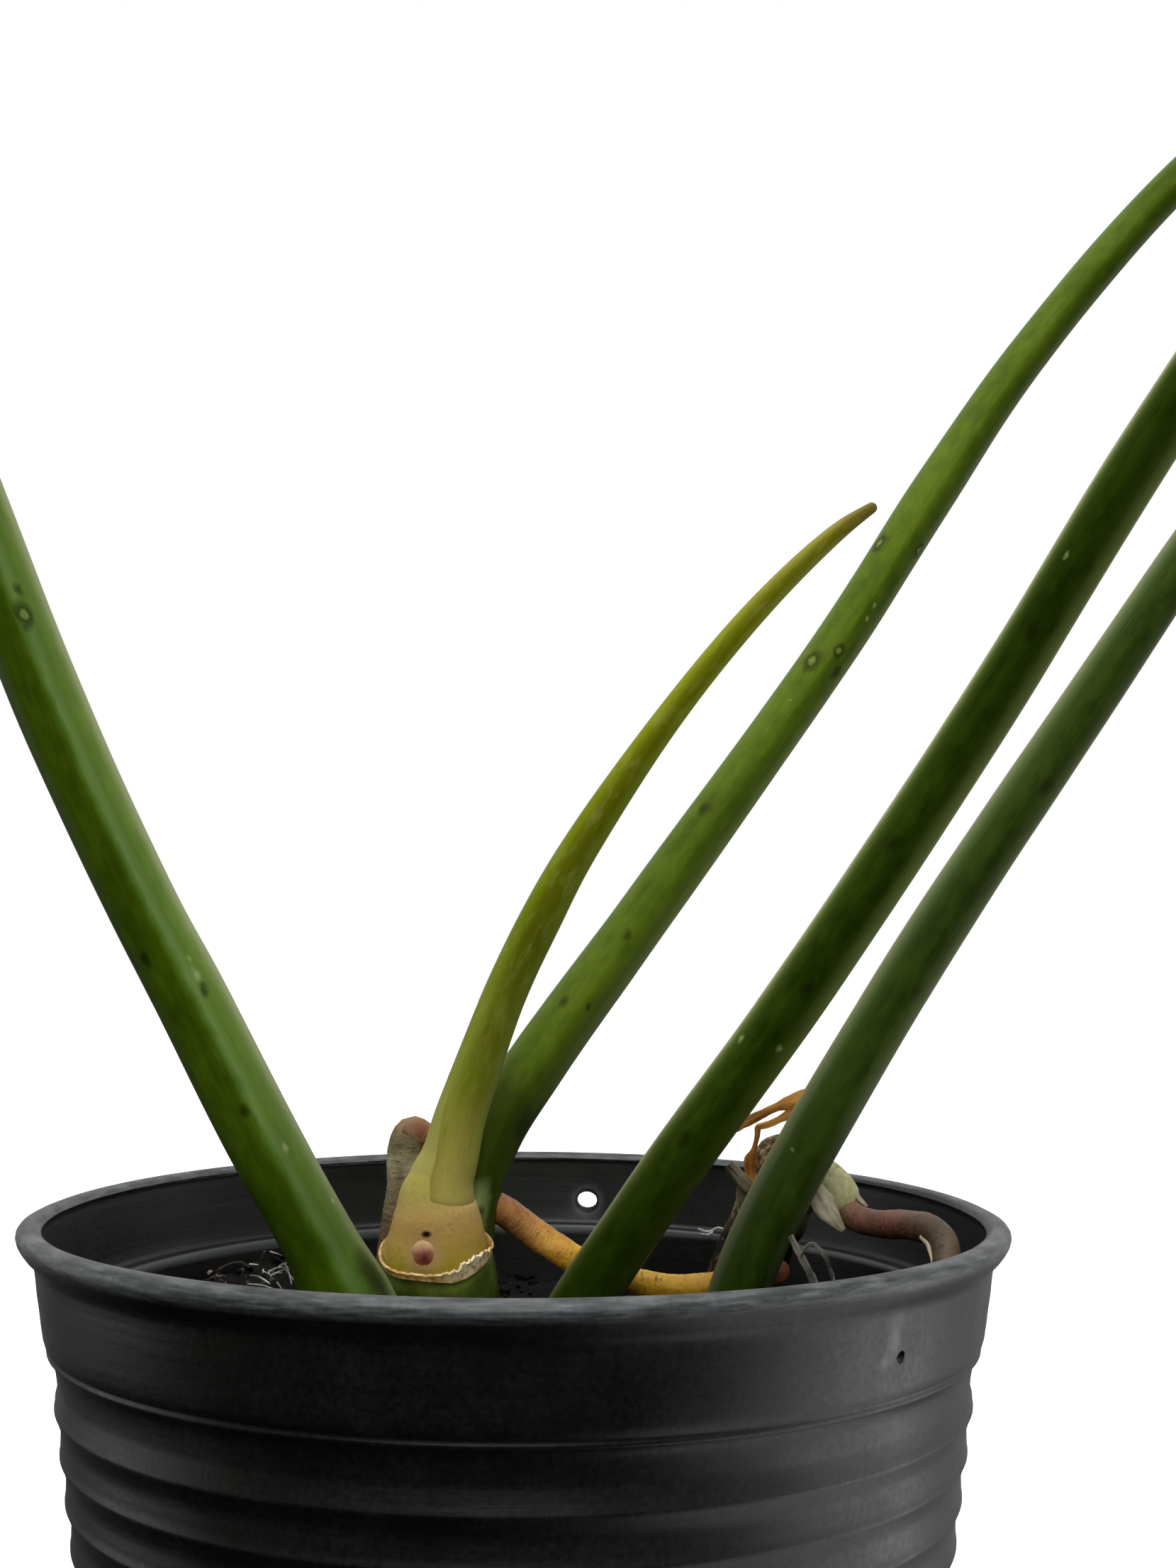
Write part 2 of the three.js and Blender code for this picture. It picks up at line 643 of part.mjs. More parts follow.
function addPiece(name, shape, colour, roughness) {
  const geometry = shape instanceof THREE.BufferGeometry ? shape : toGeometry(shape);
  const material = new THREE.MeshStandardMaterial({ color: colour, roughness, metalness: 0 });
  const mesh = new THREE.Mesh(geometry, material);
  mesh.name = name;
  plant.add(mesh);
}

addPiece('pot', potSolid(), COLOURS.blackPlastic, 0.45);
addPiece('soil', soilSolid(), COLOURS.soil, 0.95);
addPiece('stem', stem, COLOURS.stem, 0.5);
addPiece('torn_sheath', tornSheathSolid(), COLOURS.tornSheath, 0.7);
addPiece('bud', budSolid(), COLOURS.bud, 0.5);
addPiece('new_shoot', cut(shootWith(0), stemClearance), COLOURS.shoot, 0.4);
for (const [name, solid] of Object.entries(petioles)) {
  addPiece(name, solid, COLOURS.petiole, 0.35);
}
for (const [name, blade] of Object.entries(BLADES)) {
  addPiece(name, bladeGeometry(blade), COLOURS.blade, 0.35);
}
for (const [name, { colour }] of Object.entries(ROOTS)) {
  addPiece(name, roots[name], colour, 0.6);
}
addPiece('old_stem', oldStem, COLOURS.oldStem, 0.6);
addPiece('orange_sheath', orangeSheathSolid(), COLOURS.orangeSheath, 0.8);
addPiece('grey_sheath', greySheathSolid(), COLOURS.driedFibre, 0.8);
addPiece('papery_sheath', paperySheathSolid(), COLOURS.paleSheath, 0.8);
addPiece('dried_fibre', driedFibreSolid(), COLOURS.driedFibre, 0.8);

export default plant;
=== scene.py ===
# %% [markdown]
# # A philodendron in its nursery pot
# A lesson in Blender, one cell at a time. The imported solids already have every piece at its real
# size and place. This script keeps those places and makes the looks: smooth stalks, veined leaves,
# crumbly soil and satin black plastic, with a camera and a plain studio round them. Lengths are
# in millimetres while a piece is made, and each piece is scaled to metres as it is finished.

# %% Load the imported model
import math
import random

import bmesh
import bpy
from mathutils import Matrix, Vector, noise


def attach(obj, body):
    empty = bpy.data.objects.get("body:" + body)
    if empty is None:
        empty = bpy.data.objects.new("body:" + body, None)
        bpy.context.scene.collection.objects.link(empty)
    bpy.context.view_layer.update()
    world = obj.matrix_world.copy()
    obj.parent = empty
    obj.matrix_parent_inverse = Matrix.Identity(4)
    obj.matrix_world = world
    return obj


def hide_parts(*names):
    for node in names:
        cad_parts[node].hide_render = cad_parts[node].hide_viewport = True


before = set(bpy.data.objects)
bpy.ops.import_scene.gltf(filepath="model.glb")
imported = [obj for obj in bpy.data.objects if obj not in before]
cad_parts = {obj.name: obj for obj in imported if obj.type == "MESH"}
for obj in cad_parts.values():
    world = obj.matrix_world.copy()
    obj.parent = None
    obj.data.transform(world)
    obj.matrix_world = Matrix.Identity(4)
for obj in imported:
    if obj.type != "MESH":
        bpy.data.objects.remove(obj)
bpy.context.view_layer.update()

# %% [markdown]
# ## Camera
# The photograph is close and looks slightly upwards past the rim, so its perspective is strong. The
# lip's ellipse gives where the camera stood: how open it is gives the height, and how fast the
# rings below it close up gives the distance. All that is left is a plain camera at that place.

# %% Place the camera
MM = 0.001
PHOTO_HEIGHT_PX = 2212
FOCAL_LENGTH_PX = 2600
CAMERA_PLACE = Vector((7.83, -210.4, 124.7)) * MM
CAMERA_TILT_UP = math.radians(5.03)

scene = bpy.context.scene
camera_data = bpy.data.cameras.new("photo_camera")
camera_data.sensor_width = 36.0
camera_data.lens = camera_data.sensor_width * FOCAL_LENGTH_PX / PHOTO_HEIGHT_PX
camera_data.clip_start = 0.005
camera = bpy.data.objects.new("photo_camera", camera_data)
camera.location = CAMERA_PLACE
camera.rotation_euler = (math.radians(90) + CAMERA_TILT_UP, 0, 0)
scene.collection.objects.link(camera)
scene.camera = camera
print(f"camera: {camera_data.lens:.1f} mm lens, {-CAMERA_PLACE.y / MM:.0f} mm in front of the pot")

# %% [markdown]
# ## Colours and nodes
# Colours are easiest to read as the hex values of a paint chart, but a shader wants linear light,
# so one function turns them. A second small function adds a node of any kind, sets its properties
# and joins its inputs, which keeps a material down to a few readable lines. Grown and worn things
# are layered: a ground tone, streaks in it, stains where something has been, and single marks. So
# a few more functions draw a noise out into streaks, lay a tone over another where its fades
# allow, and lay a ramp of tones by its own alpha. Every pattern is measured in millimetres: either
# on the piece itself, or along the straight rod that it was before it was bent.


# %% Tools for materials
def paint(hex_colour, alpha=1.0):
    """An sRGB hex colour as linear red, green, blue and alpha."""
    channels = [int(hex_colour[i:i + 2], 16) / 255 for i in (1, 3, 5)]
    return (*[c / 12.92 if c <= 0.04045 else ((c + 0.055) / 1.055) ** 2.4 for c in channels], alpha)


def feed(tree, node, inputs):
    """Gives each input of a node its value, or the socket that it reads."""
    for key, value in inputs.items():
        if isinstance(value, bpy.types.NodeSocket):
            tree.links.new(value, node.inputs[key])
        else:
            node.inputs[key].default_value = value


def add(tree, kind, inputs=None, out=0, stops=None, **settings):
    """Adds a shader node and gives back one of its outputs, or the whole node if out is None.
    Each stop of a ramp is its place, a hex colour and, if it isn't opaque, an alpha."""
    node = tree.nodes.new("ShaderNode" + kind)
    for name, value in settings.items():
        setattr(node, name, value)
    feed(tree, node, inputs or {})
    if stops:
        ramp = node.color_ramp.elements
        ramp.remove(ramp[1])
        ramp[0].position, ramp[0].color = stops[0][0], paint(*stops[0][1:])
        for position, *tone in stops[1:]:
            ramp.new(position).color = paint(*tone)
    return node if out is None else node.outputs[out]


def new_material(name, **shader_values):
    """A material and its nodes. Even values go straight on the sockets of its shader."""
    material = bpy.data.materials.new(name)
    material.use_nodes = True
    shader = material.node_tree.nodes["Principled BSDF"]
    for key, value in shader_values.items():
        shader.inputs[key.replace("_", " ")].default_value = value
    return material, material.node_tree


def cover(material, colour, relief=None, depth=0.0, strength=1.0, **varied):
    """Ends a material: joins its colour and whatever else varies to its shader, with a relief of
    some depth in millimetres."""
    tree = material.node_tree
    inputs = {key.replace("_", " "): value for key, value in varied.items()}
    inputs["Base Color"] = colour
    if relief is not None:
        bump = {"Height": relief, "Strength": strength, "Distance": depth * MM}
        inputs["Normal"] = add(tree, "Bump", bump)
    feed(tree, tree.nodes["Principled BSDF"], inputs)
    return material


def millimetres(tree):
    """The point on the piece in millimetres, in the frame that all pieces share."""
    place = add(tree, "TexCoord", out="Object")
    return add(tree, "VectorMath", {0: place, "Scale": 1 / MM}, operation="SCALE")


def along_rod(tree):
    """The point in millimetres on the straight rod: forward, sideways and along."""
    return add(tree, "Attribute", out="Vector", attribute_name="straight")


def streaked_noise(tree, where, factors, detail):
    """Noise drawn out into streaks: the smaller the factor of an axis, the longer they are."""
    stretched = add(tree, "VectorMath", {0: where, 1: factors}, operation="MULTIPLY")
    return add(tree, "TexNoise", {"Vector": stretched, "Scale": 1, "Detail": detail})


def fades(tree, *limits):
    """The product of several fades. Each says what it reads, where it starts and ends, and how
    strong it is at both."""
    strength = None
    for value, start, end, at_start, at_end in limits:
        fade = add(tree, "MapRange", {0: value, 1: start, 2: end, 3: at_start, 4: at_end})
        if strength is None:
            strength = fade
        else:
            strength = add(tree, "Math", {0: strength, 1: fade}, operation="MULTIPLY")
    return strength


def stain(tree, colour, tone, *limits):
    """Lays a tone, a hex colour or a socket, over a colour, as strongly as its fades say."""
    over = paint(tone) if isinstance(tone, str) else tone
    layers = {0: fades(tree, *limits), 6: colour, 7: over}
    return add(tree, "Mix", layers, out=2, data_type="RGBA")


def lay_ramp(tree, colour, share, stops, fade=None):
    """Lays a ramp of tones over a colour, as strongly as its alpha says, times a fade."""
    ramp = add(tree, "ValToRGB", {"Fac": share}, out=None, stops=stops)
    strength = ramp.outputs["Alpha"]
    if fade is not None:
        strength = add(tree, "Math", {0: strength, 1: fade}, operation="MULTIPLY")
    layers = {0: strength, 6: colour, 7: ramp.outputs["Color"]}
    return add(tree, "Mix", layers, out=2, data_type="RGBA")


def draw_mark(tree, colour, where, centre, reach, stops, lengthwise=0.55):
    """Lays one mark over a colour. It is longer along the rod than across, and its ramp runs
    from its centre out."""
    offset = add(tree, "VectorMath", {0: where, 1: centre}, operation="SUBTRACT")
    narrowed = add(tree, "VectorMath", {0: offset, 1: (1, 1, lengthwise)}, operation="MULTIPLY")
    distance = add(tree, "VectorMath", {0: narrowed}, out="Value", operation="LENGTH")
    share = add(tree, "Math", {0: distance, 1: reach}, operation="DIVIDE")
    return lay_ramp(tree, colour, share, stops)


print("tools for materials are ready")

# %% [markdown]
# ## Stalks
# Petioles, roots, the stem and dry strips are all one thing to a maker: a soft rod bent to a
# route. A curve object could do it, but a rod made by extruding a ring of edges from place to place
# can also carry, on each vertex, where that vertex was on the straight rod. A material then draws
# its streaks along the stalk, whatever way the stalk bends. The route is a centripetal
# Catmull-Rom curve, which never loops between two close points.


# %% Bend a rod onto a route
SPAN_STEPS = 24
DOME_DEGREES = (25, 50, 70, 83)


def spline_point(points, span, share):
    """A point of the curve, with its radius as the fourth number."""
    first, last = points[span], points[span + 1]
    before = points[span - 1] if span > 0 else first * 2 - last
    after = points[span + 2] if span + 2 < len(points) else last * 2 - first
    four = [before, first, last, after]
    knots = [0.0]
    for a, b in zip(four, four[1:]):
        knots.append(knots[-1] + max((b.xyz - a.xyz).length, 1e-6) ** 0.5)
    t = knots[1] + (knots[2] - knots[1]) * share
    for spread in (1, 2):
        four = [a.lerp(b, (t - knots[i]) / (knots[i + spread] - knots[i]))
                for i, (a, b) in enumerate(zip(four, four[1:]))]
    return four[0].lerp(four[1], (t - knots[1]) / (knots[2] - knots[1]))


def bend(route, spacing, facing=(0, -1, 0), held=False):
    """Places every few tenths of a millimetre along a route: matrix, radius and distance. The
    first axis points to the side, the second where the rod faces, the third along it. A held
    facing stays the same all along; otherwise it is carried from place to place untwisted."""
    points = [Vector(p) for p in route]
    dense = [spline_point(points, span, i / SPAN_STEPS)
             for span in range(len(points) - 1) for i in range(SPAN_STEPS)]
    dense.append(points[-1])
    lengths = [0.0]
    for a, b in zip(dense, dense[1:]):
        lengths.append(lengths[-1] + (b.xyz - a.xyz).length)
    count = max(2, round(lengths[-1] / spacing))
    line = []
    at = 0
    for i in range(count + 1):
        along = lengths[-1] * i / count
        while at < len(dense) - 2 and lengths[at + 1] < along:
            at += 1
        share = (along - lengths[at]) / max(lengths[at + 1] - lengths[at], 1e-9)
        line.append((dense[at].lerp(dense[at + 1], min(share, 1.0)), along))
    places = []
    depth = Vector(facing)
    for i, (point, along) in enumerate(line):
        ahead = line[min(i + 1, count)][0].xyz - line[max(i - 1, 0)][0].xyz
        tangent = ahead.normalized()
        wanted = Vector(facing) if held else depth
        depth = (wanted - tangent * wanted.dot(tangent)).normalized()
        side = tangent.cross(depth)
        turn = Matrix((side, depth, tangent)).transposed().to_4x4()
        places.append((Matrix.Translation(point.xyz) @ turn, point.w, along))
    return places


def edges_of(ring, elements):
    """The edges among some elements that join two vertices of a ring."""
    members = set(ring)
    return [e for e in elements if isinstance(e, bmesh.types.BMEdge) and members.issuperset(e.verts)]


def rod(places, sides, shape=None, flatness=1.0, into=None):
    """Extrudes a ring of edges from place to place and closes it with a dome. A shape function
    may change the radius by angle and distance; angle 0 faces the front, 90 degrees the right."""
    bm = into or bmesh.new()
    around = bm.verts.layers.float.get("around") or bm.verts.layers.float.new("around")
    straight = (bm.verts.layers.float_vector.get("straight")
                or bm.verts.layers.float_vector.new("straight"))
    end_radius = places[-1][1]
    end_along = places[-1][2] - 0.9 * end_radius
    kept = [p for p in places if p[2] <= end_along] or places[:1]
    dome = []
    for degrees in DOME_DEGREES:
        matrix, radius, along = kept[-1]
        rise = end_radius * math.sin(math.radians(degrees))
        centre = matrix @ Matrix.Translation((0, 0, rise))
        dome.append((centre, radius * math.cos(math.radians(degrees)), along + rise))
    ring = bmesh.ops.create_circle(bm, segments=sides, radius=1.0, cap_ends=True)["verts"]
    for vertex in ring:
        vertex[around] = math.atan2(vertex.co.x, vertex.co.y)
    edges = edges_of(ring, bm.edges)
    for number, (matrix, radius, along) in enumerate(kept + dome):
        if number:
            grown = bmesh.ops.extrude_edge_only(bm, edges=edges)["geom"]
            ring = [g for g in grown if isinstance(g, bmesh.types.BMVert)]
            edges = edges_of(ring, grown)
        for vertex in ring:
            angle = vertex[around]
            out = shape(angle, along, radius) if shape else radius
            x, y = out * math.sin(angle), out * math.cos(angle)
            vertex.co = matrix @ Vector((x, y * flatness, 0))
            vertex[straight] = (y, x, along)
    matrix, _, _ = kept[-1]
    bmesh.ops.pointmerge(bm, verts=ring, merge_co=matrix @ Vector((0, 0, end_radius)))
    return bm


def in_scene(name, bm):
    """Makes an object of the scene from a bmesh in metres."""
    mesh = bpy.data.meshes.new(name)
    bm.to_mesh(mesh)
    bm.free()
    made = bpy.data.objects.new(name, mesh)
    scene.collection.objects.link(made)
    return made


def after_modifiers(piece):
    """The mesh of an object as its modifiers leave it."""
    evaluated = piece.evaluated_get(bpy.context.evaluated_depsgraph_get())
    return bpy.data.meshes.new_from_object(evaluated)


def finish_piece(name, bm, material, nodes=(), crease=50):
    """Turns a bmesh in millimetres into a piece in metres that rides on the one body."""
    bmesh.ops.recalc_face_normals(bm, faces=bm.faces)
    bmesh.ops.scale(bm, vec=(MM, MM, MM), verts=bm.verts)
    for face in bm.faces:
        face.smooth = True
    for edge in bm.edges:
        edge.smooth = edge.calc_face_angle(0.0) < math.radians(crease)
    piece = in_scene(name, bm)
    piece.data.materials.append(material)
    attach(piece, "root")
    if nodes:
        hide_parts(*nodes)
    print(f"{name}: {len(piece.data.vertices)} vertices, stands for {', '.join(nodes) or 'nothing'}")
    return piece


def rough(point, size, seed=0.0):
    """A smooth random number from -1 to 1 at a point, with bumps of that size in millimetres."""
    return noise.noise(Vector(point) / size + Vector((seed, 2.3 * seed, -seed)))


print("tools for stalks are ready")

# %% [markdown]
# ## The pot
# A nursery pot is drawn from one thin sheet of hot polypropylene over a ribbed form, so its wall is
# under a millimetre and every step inside shows outside as well. It is a turned shape: one outline,
# spun round the vertical axis, gives all of it. The outline goes up the outside, where each ring
# is a slope outwards, a small bead that catches the light and a short straight band, over the
# rolled lip, and down the inside past the ledge where a smaller pot would rest. A fine groove
# under the lip's inner edge keeps that edge crisp.

# %% Draw the pot's outline
POT_HEIGHT = 95.0
BASE_RADIUS = 39.8
SHOULDER_RADIUS = 49.6
RING_COUNT = 15
RING_PITCH = 4.75
FIRST_RING_DROP = 18.6
WALL = 0.8
FOOT_WIDTH = 4.0
FOOT_RECESS = 1.2
PAD_RADIUS = 13.0
FLOOR = 1.6
LEDGE_DROP = 9.1

UNDERSIDE = [
    (0.0, 0.0), (PAD_RADIUS, 0.0), (PAD_RADIUS + 1.2, FOOT_RECESS),
    (BASE_RADIUS - FOOT_WIDTH - 1.2, FOOT_RECESS), (BASE_RADIUS - FOOT_WIDTH, 0.0),
    (BASE_RADIUS - 0.7, 0.0), (BASE_RADIUS - 0.2, 0.25), (BASE_RADIUS, 0.8),
]
ONE_RING = [
    (0, -2.6), (0, -1.9), (0.3, -1.3), (0.62, -0.7), (0.9, -0.3), (1.1, -0.02), (1.12, 0.25),
    (1, 0.5), (1, 1.2),
]
BAND_UNDER_LIP = [
    (49.37, -16.4), (49.45, -15.75), (49.53, -15.15), (49.66, -14.4), (49.85, -13.65), (50.12, -13.05),
    (50.4, -12.78), (50.6, -12.58), (50.62, -12.3), (50.5, -12.08), (50.6, -11.88), (50.84, -11.5),
    (51.02, -10.9), (51.25, -9.5), (51.46, -8.0), (51.71, -6.5), (51.9, -4.9), (52.02, -4.1),
]
LIP = [
    (52.2, -3.45), (52.6, -2.95), (53.1, -2.45), (53.55, -1.85), (53.87, -1.3), (54.0, -0.8),
    (53.95, -0.4), (53.7, -0.05), (53.25, 0.18), (52.65, 0.28), (52.05, 0.2), (51.6, -0.05),
    (51.38, -0.42),
]
INSIDE = [
    (51.5, -0.62), (51.42, -1.2), (51.15, -4.2), (50.85, -7.0), (50.68, -8.5), (50.55, -8.95),
    (50.2, -9.14), (49.0, -9.16), (48.78, -LEDGE_DROP), (48.5, -9.14), (48.32, -9.4),
    (48.25, -9.9), (48.25, -10.6),
]


def ring_outline():
    """The outside of the rings, from the foot up."""
    step = (SHOULDER_RADIUS - BASE_RADIUS) / RING_COUNT
    points = []
    for ring in range(RING_COUNT, 0, -1):
        top = POT_HEIGHT - FIRST_RING_DROP - (ring - 1) * RING_PITCH
        radius = SHOULDER_RADIUS + (BASE_RADIUS - SHOULDER_RADIUS) * ring / RING_COUNT
        points += [(radius + share * step, top + rise) for share, rise in ONE_RING]
    return points


def from_rim(points):
    """Points given as drops below the lip's top, as heights."""
    return [(radius, POT_HEIGHT + drop) for radius, drop in points]


inner_floor = [(BASE_RADIUS - WALL - 0.6, FOOT_RECESS + FLOOR), (0.0, FOOT_RECESS + FLOOR)]
pot_outline = UNDERSIDE + ring_outline() + from_rim(BAND_UNDER_LIP + LIP + INSIDE) + inner_floor
print("pot outline:", len(pot_outline), "points, widest", max(r for r, _ in pot_outline), "mm")

# %% [markdown]
# The turned shell then gets its holes: six drain holes in the floor, and two that someone punched
# with a hot pin near the rim. A Boolean modifier cuts them, and its result becomes the mesh. A hot
# pin pushes a small collar of plastic up round the hole, which a proportional push of the nearby
# vertices makes before the cut. Thin plastic never stays true, so the rim also rises a little at
# the back and at the left.

# %% Turn the pot and cut its holes
POT_TURNS = 216
DRAIN_HOLES = 6
DRAIN_CIRCLE = 25.0
DRAIN_RADIUS = 4.0
DRAIN_CUT = 8.0
PIN_CUT = 9.0
COLLAR_REACH = 5
PUNCHED = [
    {"centre": (7.6, 50.0, POT_HEIGHT - 5.5), "radius": 1.4, "tall": 0.78, "collar": 0.5},
    {"centre": (36.7, -35.7, POT_HEIGHT - 8.2), "radius": 0.6, "tall": 1.0, "collar": -0.5},
]


def revolve(outline, turns):
    """Spins an outline round the vertical axis into a closed shell."""
    bm = bmesh.new()
    verts = [bm.verts.new((radius, 0.0, height)) for radius, height in outline]
    edges = [bm.edges.new(pair) for pair in zip(verts, verts[1:])]
    bmesh.ops.spin(bm, geom=verts + edges, cent=(0, 0, 0), axis=(0, 0, 1),
                   angle=math.tau, steps=turns, use_merge=True, use_duplicate=False)
    bmesh.ops.remove_doubles(bm, verts=bm.verts, dist=1e-4)
    return bm


def punch(bm, centre, radius, length, direction, tall=1.0):
    """Adds a straight cutter to a bmesh of cutters."""
    turn = Vector((0, 0, 1)).rotation_difference(Vector(direction)).to_matrix().to_4x4()
    turn = Matrix.Diagonal((1, 1, tall, 1)) @ turn
    bmesh.ops.create_cone(bm, cap_ends=True, segments=28, radius1=radius, radius2=radius,
                          depth=length, matrix=Matrix.Translation(centre) @ turn)


def subtract(piece, cutters):
    """Cuts a bmesh of cutters from a piece, through a Boolean modifier that becomes the mesh."""
    bmesh.ops.scale(cutters, vec=(MM, MM, MM), verts=cutters.verts)
    cutter = in_scene("cutters", cutters)
    modifier = piece.modifiers.new("holes", "BOOLEAN")
    modifier.object = cutter
    modifier.solver = "EXACT"
    cut_mesh = after_modifiers(piece)
    piece.modifiers.clear()
    piece.data = cut_mesh
    bpy.data.objects.remove(cutter)


def smooth_between(value, low, high):
    """0 below the low end, 1 above the high one, and a smooth slope between."""
    share = min(1.0, max(0.0, (value - low) / (high - low)))
    return share * share * (3 - 2 * share)


RISE_AT_BACK = 0.013
RISE_AT_LEFT = 0.007


def sit_askew(bm):
    """Lifts the rim a little at the back and at the left, and less and less below it."""
    for vertex in bm.verts:
        x, y, z = vertex.co
        rise = RISE_AT_BACK * max(0.0, y - 5) - RISE_AT_LEFT * x
        vertex.co.z += smooth_between(z, 2, 45) * rise


pot_mesh = revolve(pot_outline, POT_TURNS)
sit_askew(pot_mesh)
for hole in PUNCHED:
    centre = Vector(hole["centre"])
    outwards = Vector((centre.x, centre.y, 0)).normalized()
    for vertex in pot_mesh.verts:
        near = (vertex.co - centre).length
        if near < COLLAR_REACH:
            vertex.co += outwards * hole["collar"] * math.exp(-((near / hole["radius"] / 1.3) ** 2))
cutters = bmesh.new()
for hole in PUNCHED:
    x, y, _ = hole["centre"]
    punch(cutters, hole["centre"], hole["radius"], PIN_CUT, (x, y, 0), hole["tall"])
for i in range(DRAIN_HOLES):
    angle = i * math.tau / DRAIN_HOLES
    place = (DRAIN_CIRCLE * math.cos(angle), DRAIN_CIRCLE * math.sin(angle), FLOOR)
    punch(cutters, place, DRAIN_RADIUS, DRAIN_CUT, (0, 0, 1))
print(f"pot: {len(pot_mesh.verts)} points, {len(PUNCHED)} punched and {DRAIN_HOLES} drain holes to cut")

# %% [markdown]
# The finish is moulded black polypropylene: carbon black in a satin plastic. It is a dielectric of
# IOR 1.49, near black, and everything the eye gets from it is its sheen. That sheen is uneven. The
# sheet chills in fine streaks round the pot, handling rubs it, and dust and dried water stay in
# thin grey films, so roughness and a faint grey veil vary at two sizes. Rubbed wear and painted
# light have their places, each a zone by height and radius. The lip is rubbed into pale streaks as
# far as its crest, and these streaks are also a painted highlight. A thin painted highlight runs
# along the top of the crest. The ledge's inner edge is a painted highlight. Inside, the wall is
# painted a lighter grey from the ledge up to two millimetres under the crest, so the darker band
# under the lip is painted shade. Scuffs lie round the small hole, and the hot pin left a scorched
# ring with a pale edge round the other.


# %% Black polypropylene
HOLE_SCUFF = [(0.0, "#8c9090", 0.55), (0.4, "#6d7070", 0.35), (1.0, "#3c3e3e", 0.0)]
PIN_SCORCH = [(0.0, "#060606", 0.8), (0.55, "#060606", 0.8), (0.64, "#5c6062", 0.5),
              (0.8, "#404244", 0.3), (1.0, "#303232", 0.0)]
# Scuffs are smeared, which shifts them by half a millimetre. These centres allow for it.
SCUFFS = [((36.5, -36.6, 89.4), 2.0, 0.45), ((35.7, -37.4, 87.1), 1.2, 1.0)]
SCORCH_CENTRE = (7.7, 50.4, 89.4)
SCORCH_REACH = 2.9


def black_polypropylene():
    """Satin black plastic: sheen and thin dust, a rubbed lip that is also a painted highlight, painted
    highlights on the crest and the ledge, and painted shade under the lip.
    """
    material, tree = new_material("black_polypropylene_thermoformed", IOR=1.49)
    place = millimetres(tree)
    pores = add(tree, "TexNoise", {"Vector": place, "Scale": 1.7, "Detail": 3})
    chill = streaked_noise(tree, place, (0.06, 0.06, 1.1), 3)
    film = add(tree, "TexNoise", {"Vector": place, "Scale": 0.07, "Detail": 6, "Roughness": 0.65})
    dust = fades(tree, (film, 0.48, 0.78, 0.0, 1.0), (pores, 0.4, 0.72, 0.0, 1.0))
    stops = [(0.0, "#050505"), (0.5, "#0f1010"), (1.0, "#222423")]
    colour = add(tree, "ValToRGB", {"Fac": dust}, stops=stops)
    height = add(tree, "SeparateXYZ", {0: place}, out="Z")
    level = add(tree, "VectorMath", {0: place, 1: (1, 1, 0)}, operation="MULTIPLY")
    radius = add(tree, "VectorMath", {0: level}, out="Value", operation="LENGTH")
    crest = POT_HEIGHT
    ledge = POT_HEIGHT - LEDGE_DROP
    # Painted shade: the inner wall is painted lighter from the ledge to two millimetres under the crest,
    # which leaves the band under the lip darker.
    colour = stain(tree, colour, "#1d1f1e", (height, ledge + 0.3, ledge + 1.3, 0.0, 1.0),
                   (height, crest - 3.8, crest - 2.0, 1.0, 0.0), (radius, 51.3, 51.4, 0.6, 0.0))
    # The lip's pale streaks are rubbed wear and also a painted highlight; the top of the crest carries a
    # thin painted highlight.
    outer_lip = fades(tree, (height, crest - 1.9, crest - 1.0, 0.0, 1.0),
                      (radius, 51.7, 52.3, 0.0, 1.0))
    crest_highlight = fades(tree, (height, crest - 0.15, crest, 0.0, 0.9))
    lip = add(tree, "Math", {0: outer_lip, 1: crest_highlight}, operation="MAXIMUM")
    rubbed_and_sheen_streaks = streaked_noise(tree, place, (0.3, 0.3, 2.6), 4)
    rubbed_and_sheen_streaks = add(tree, "Math", {0: pores, 1: 0.25, 2: rubbed_and_sheen_streaks}, operation="MULTIPLY_ADD")
    stops = [(0.46, "#303132"), (0.62, "#484a4c"), (0.8, "#626466")]
    worn_and_highlit = add(tree, "ValToRGB", {"Fac": rubbed_and_sheen_streaks}, stops=stops)
    colour = add(tree, "Mix", {0: lip, 6: colour, 7: worn_and_highlit}, out=2, data_type="RGBA")
    # Painted highlight: a lighter tone along the ledge's inner edge.
    colour = stain(tree, colour, "#4a4c4e", (height, ledge + 0.4, ledge + 0.8, 0.8, 0.0),
                   (height, ledge - 0.7, ledge - 0.3, 0.0, 1.0), (radius, 49.0, 49.3, 1.0, 0.0))
    ragged = add(tree, "TexNoise", {"Vector": place, "Scale": 0.9}, out="Color")
    smeared = add(tree, "VectorMath", {0: place, 1: ragged}, operation="ADD")
    for centre, reach, lengthwise in SCUFFS:
        colour = draw_mark(tree, colour, smeared, centre, reach, HOLE_SCUFF, lengthwise)
    colour = draw_mark(tree, colour, place, SCORCH_CENTRE, SCORCH_REACH, PIN_SCORCH, 1.0)
    handled = add(tree, "MapRange", {0: film, 1: 0.3, 2: 0.7, 3: 0.34, 4: 0.5})
    fine = add(tree, "MapRange", {0: pores, 1: 0.25, 2: 0.75, 3: -0.05, 4: 0.07})
    roughness = add(tree, "Math", {0: handled, 1: fine}, operation="ADD")
    relief = add(tree, "Math", {0: pores, 1: 0.5, 2: chill}, operation="MULTIPLY_ADD")
    return cover(material, colour, relief, 0.06, 0.5, Roughness=roughness)


plastic = black_polypropylene()
pot = finish_piece("nursery_pot", pot_mesh, plastic, ["pot"], crease=60)
subtract(pot, cutters)
print("pot after its holes:", len(pot.data.polygons), "faces")

# %% [markdown]
# ## The soil
# Potting mix is peat, bark and perlite: dark, matte and broken up at every size. The large form is
# a low heap, spun like the pot and pushed up by the same mound as the solid. Its small clumps are
# pushed up too, by noise at two sizes, since the light catches every edge.

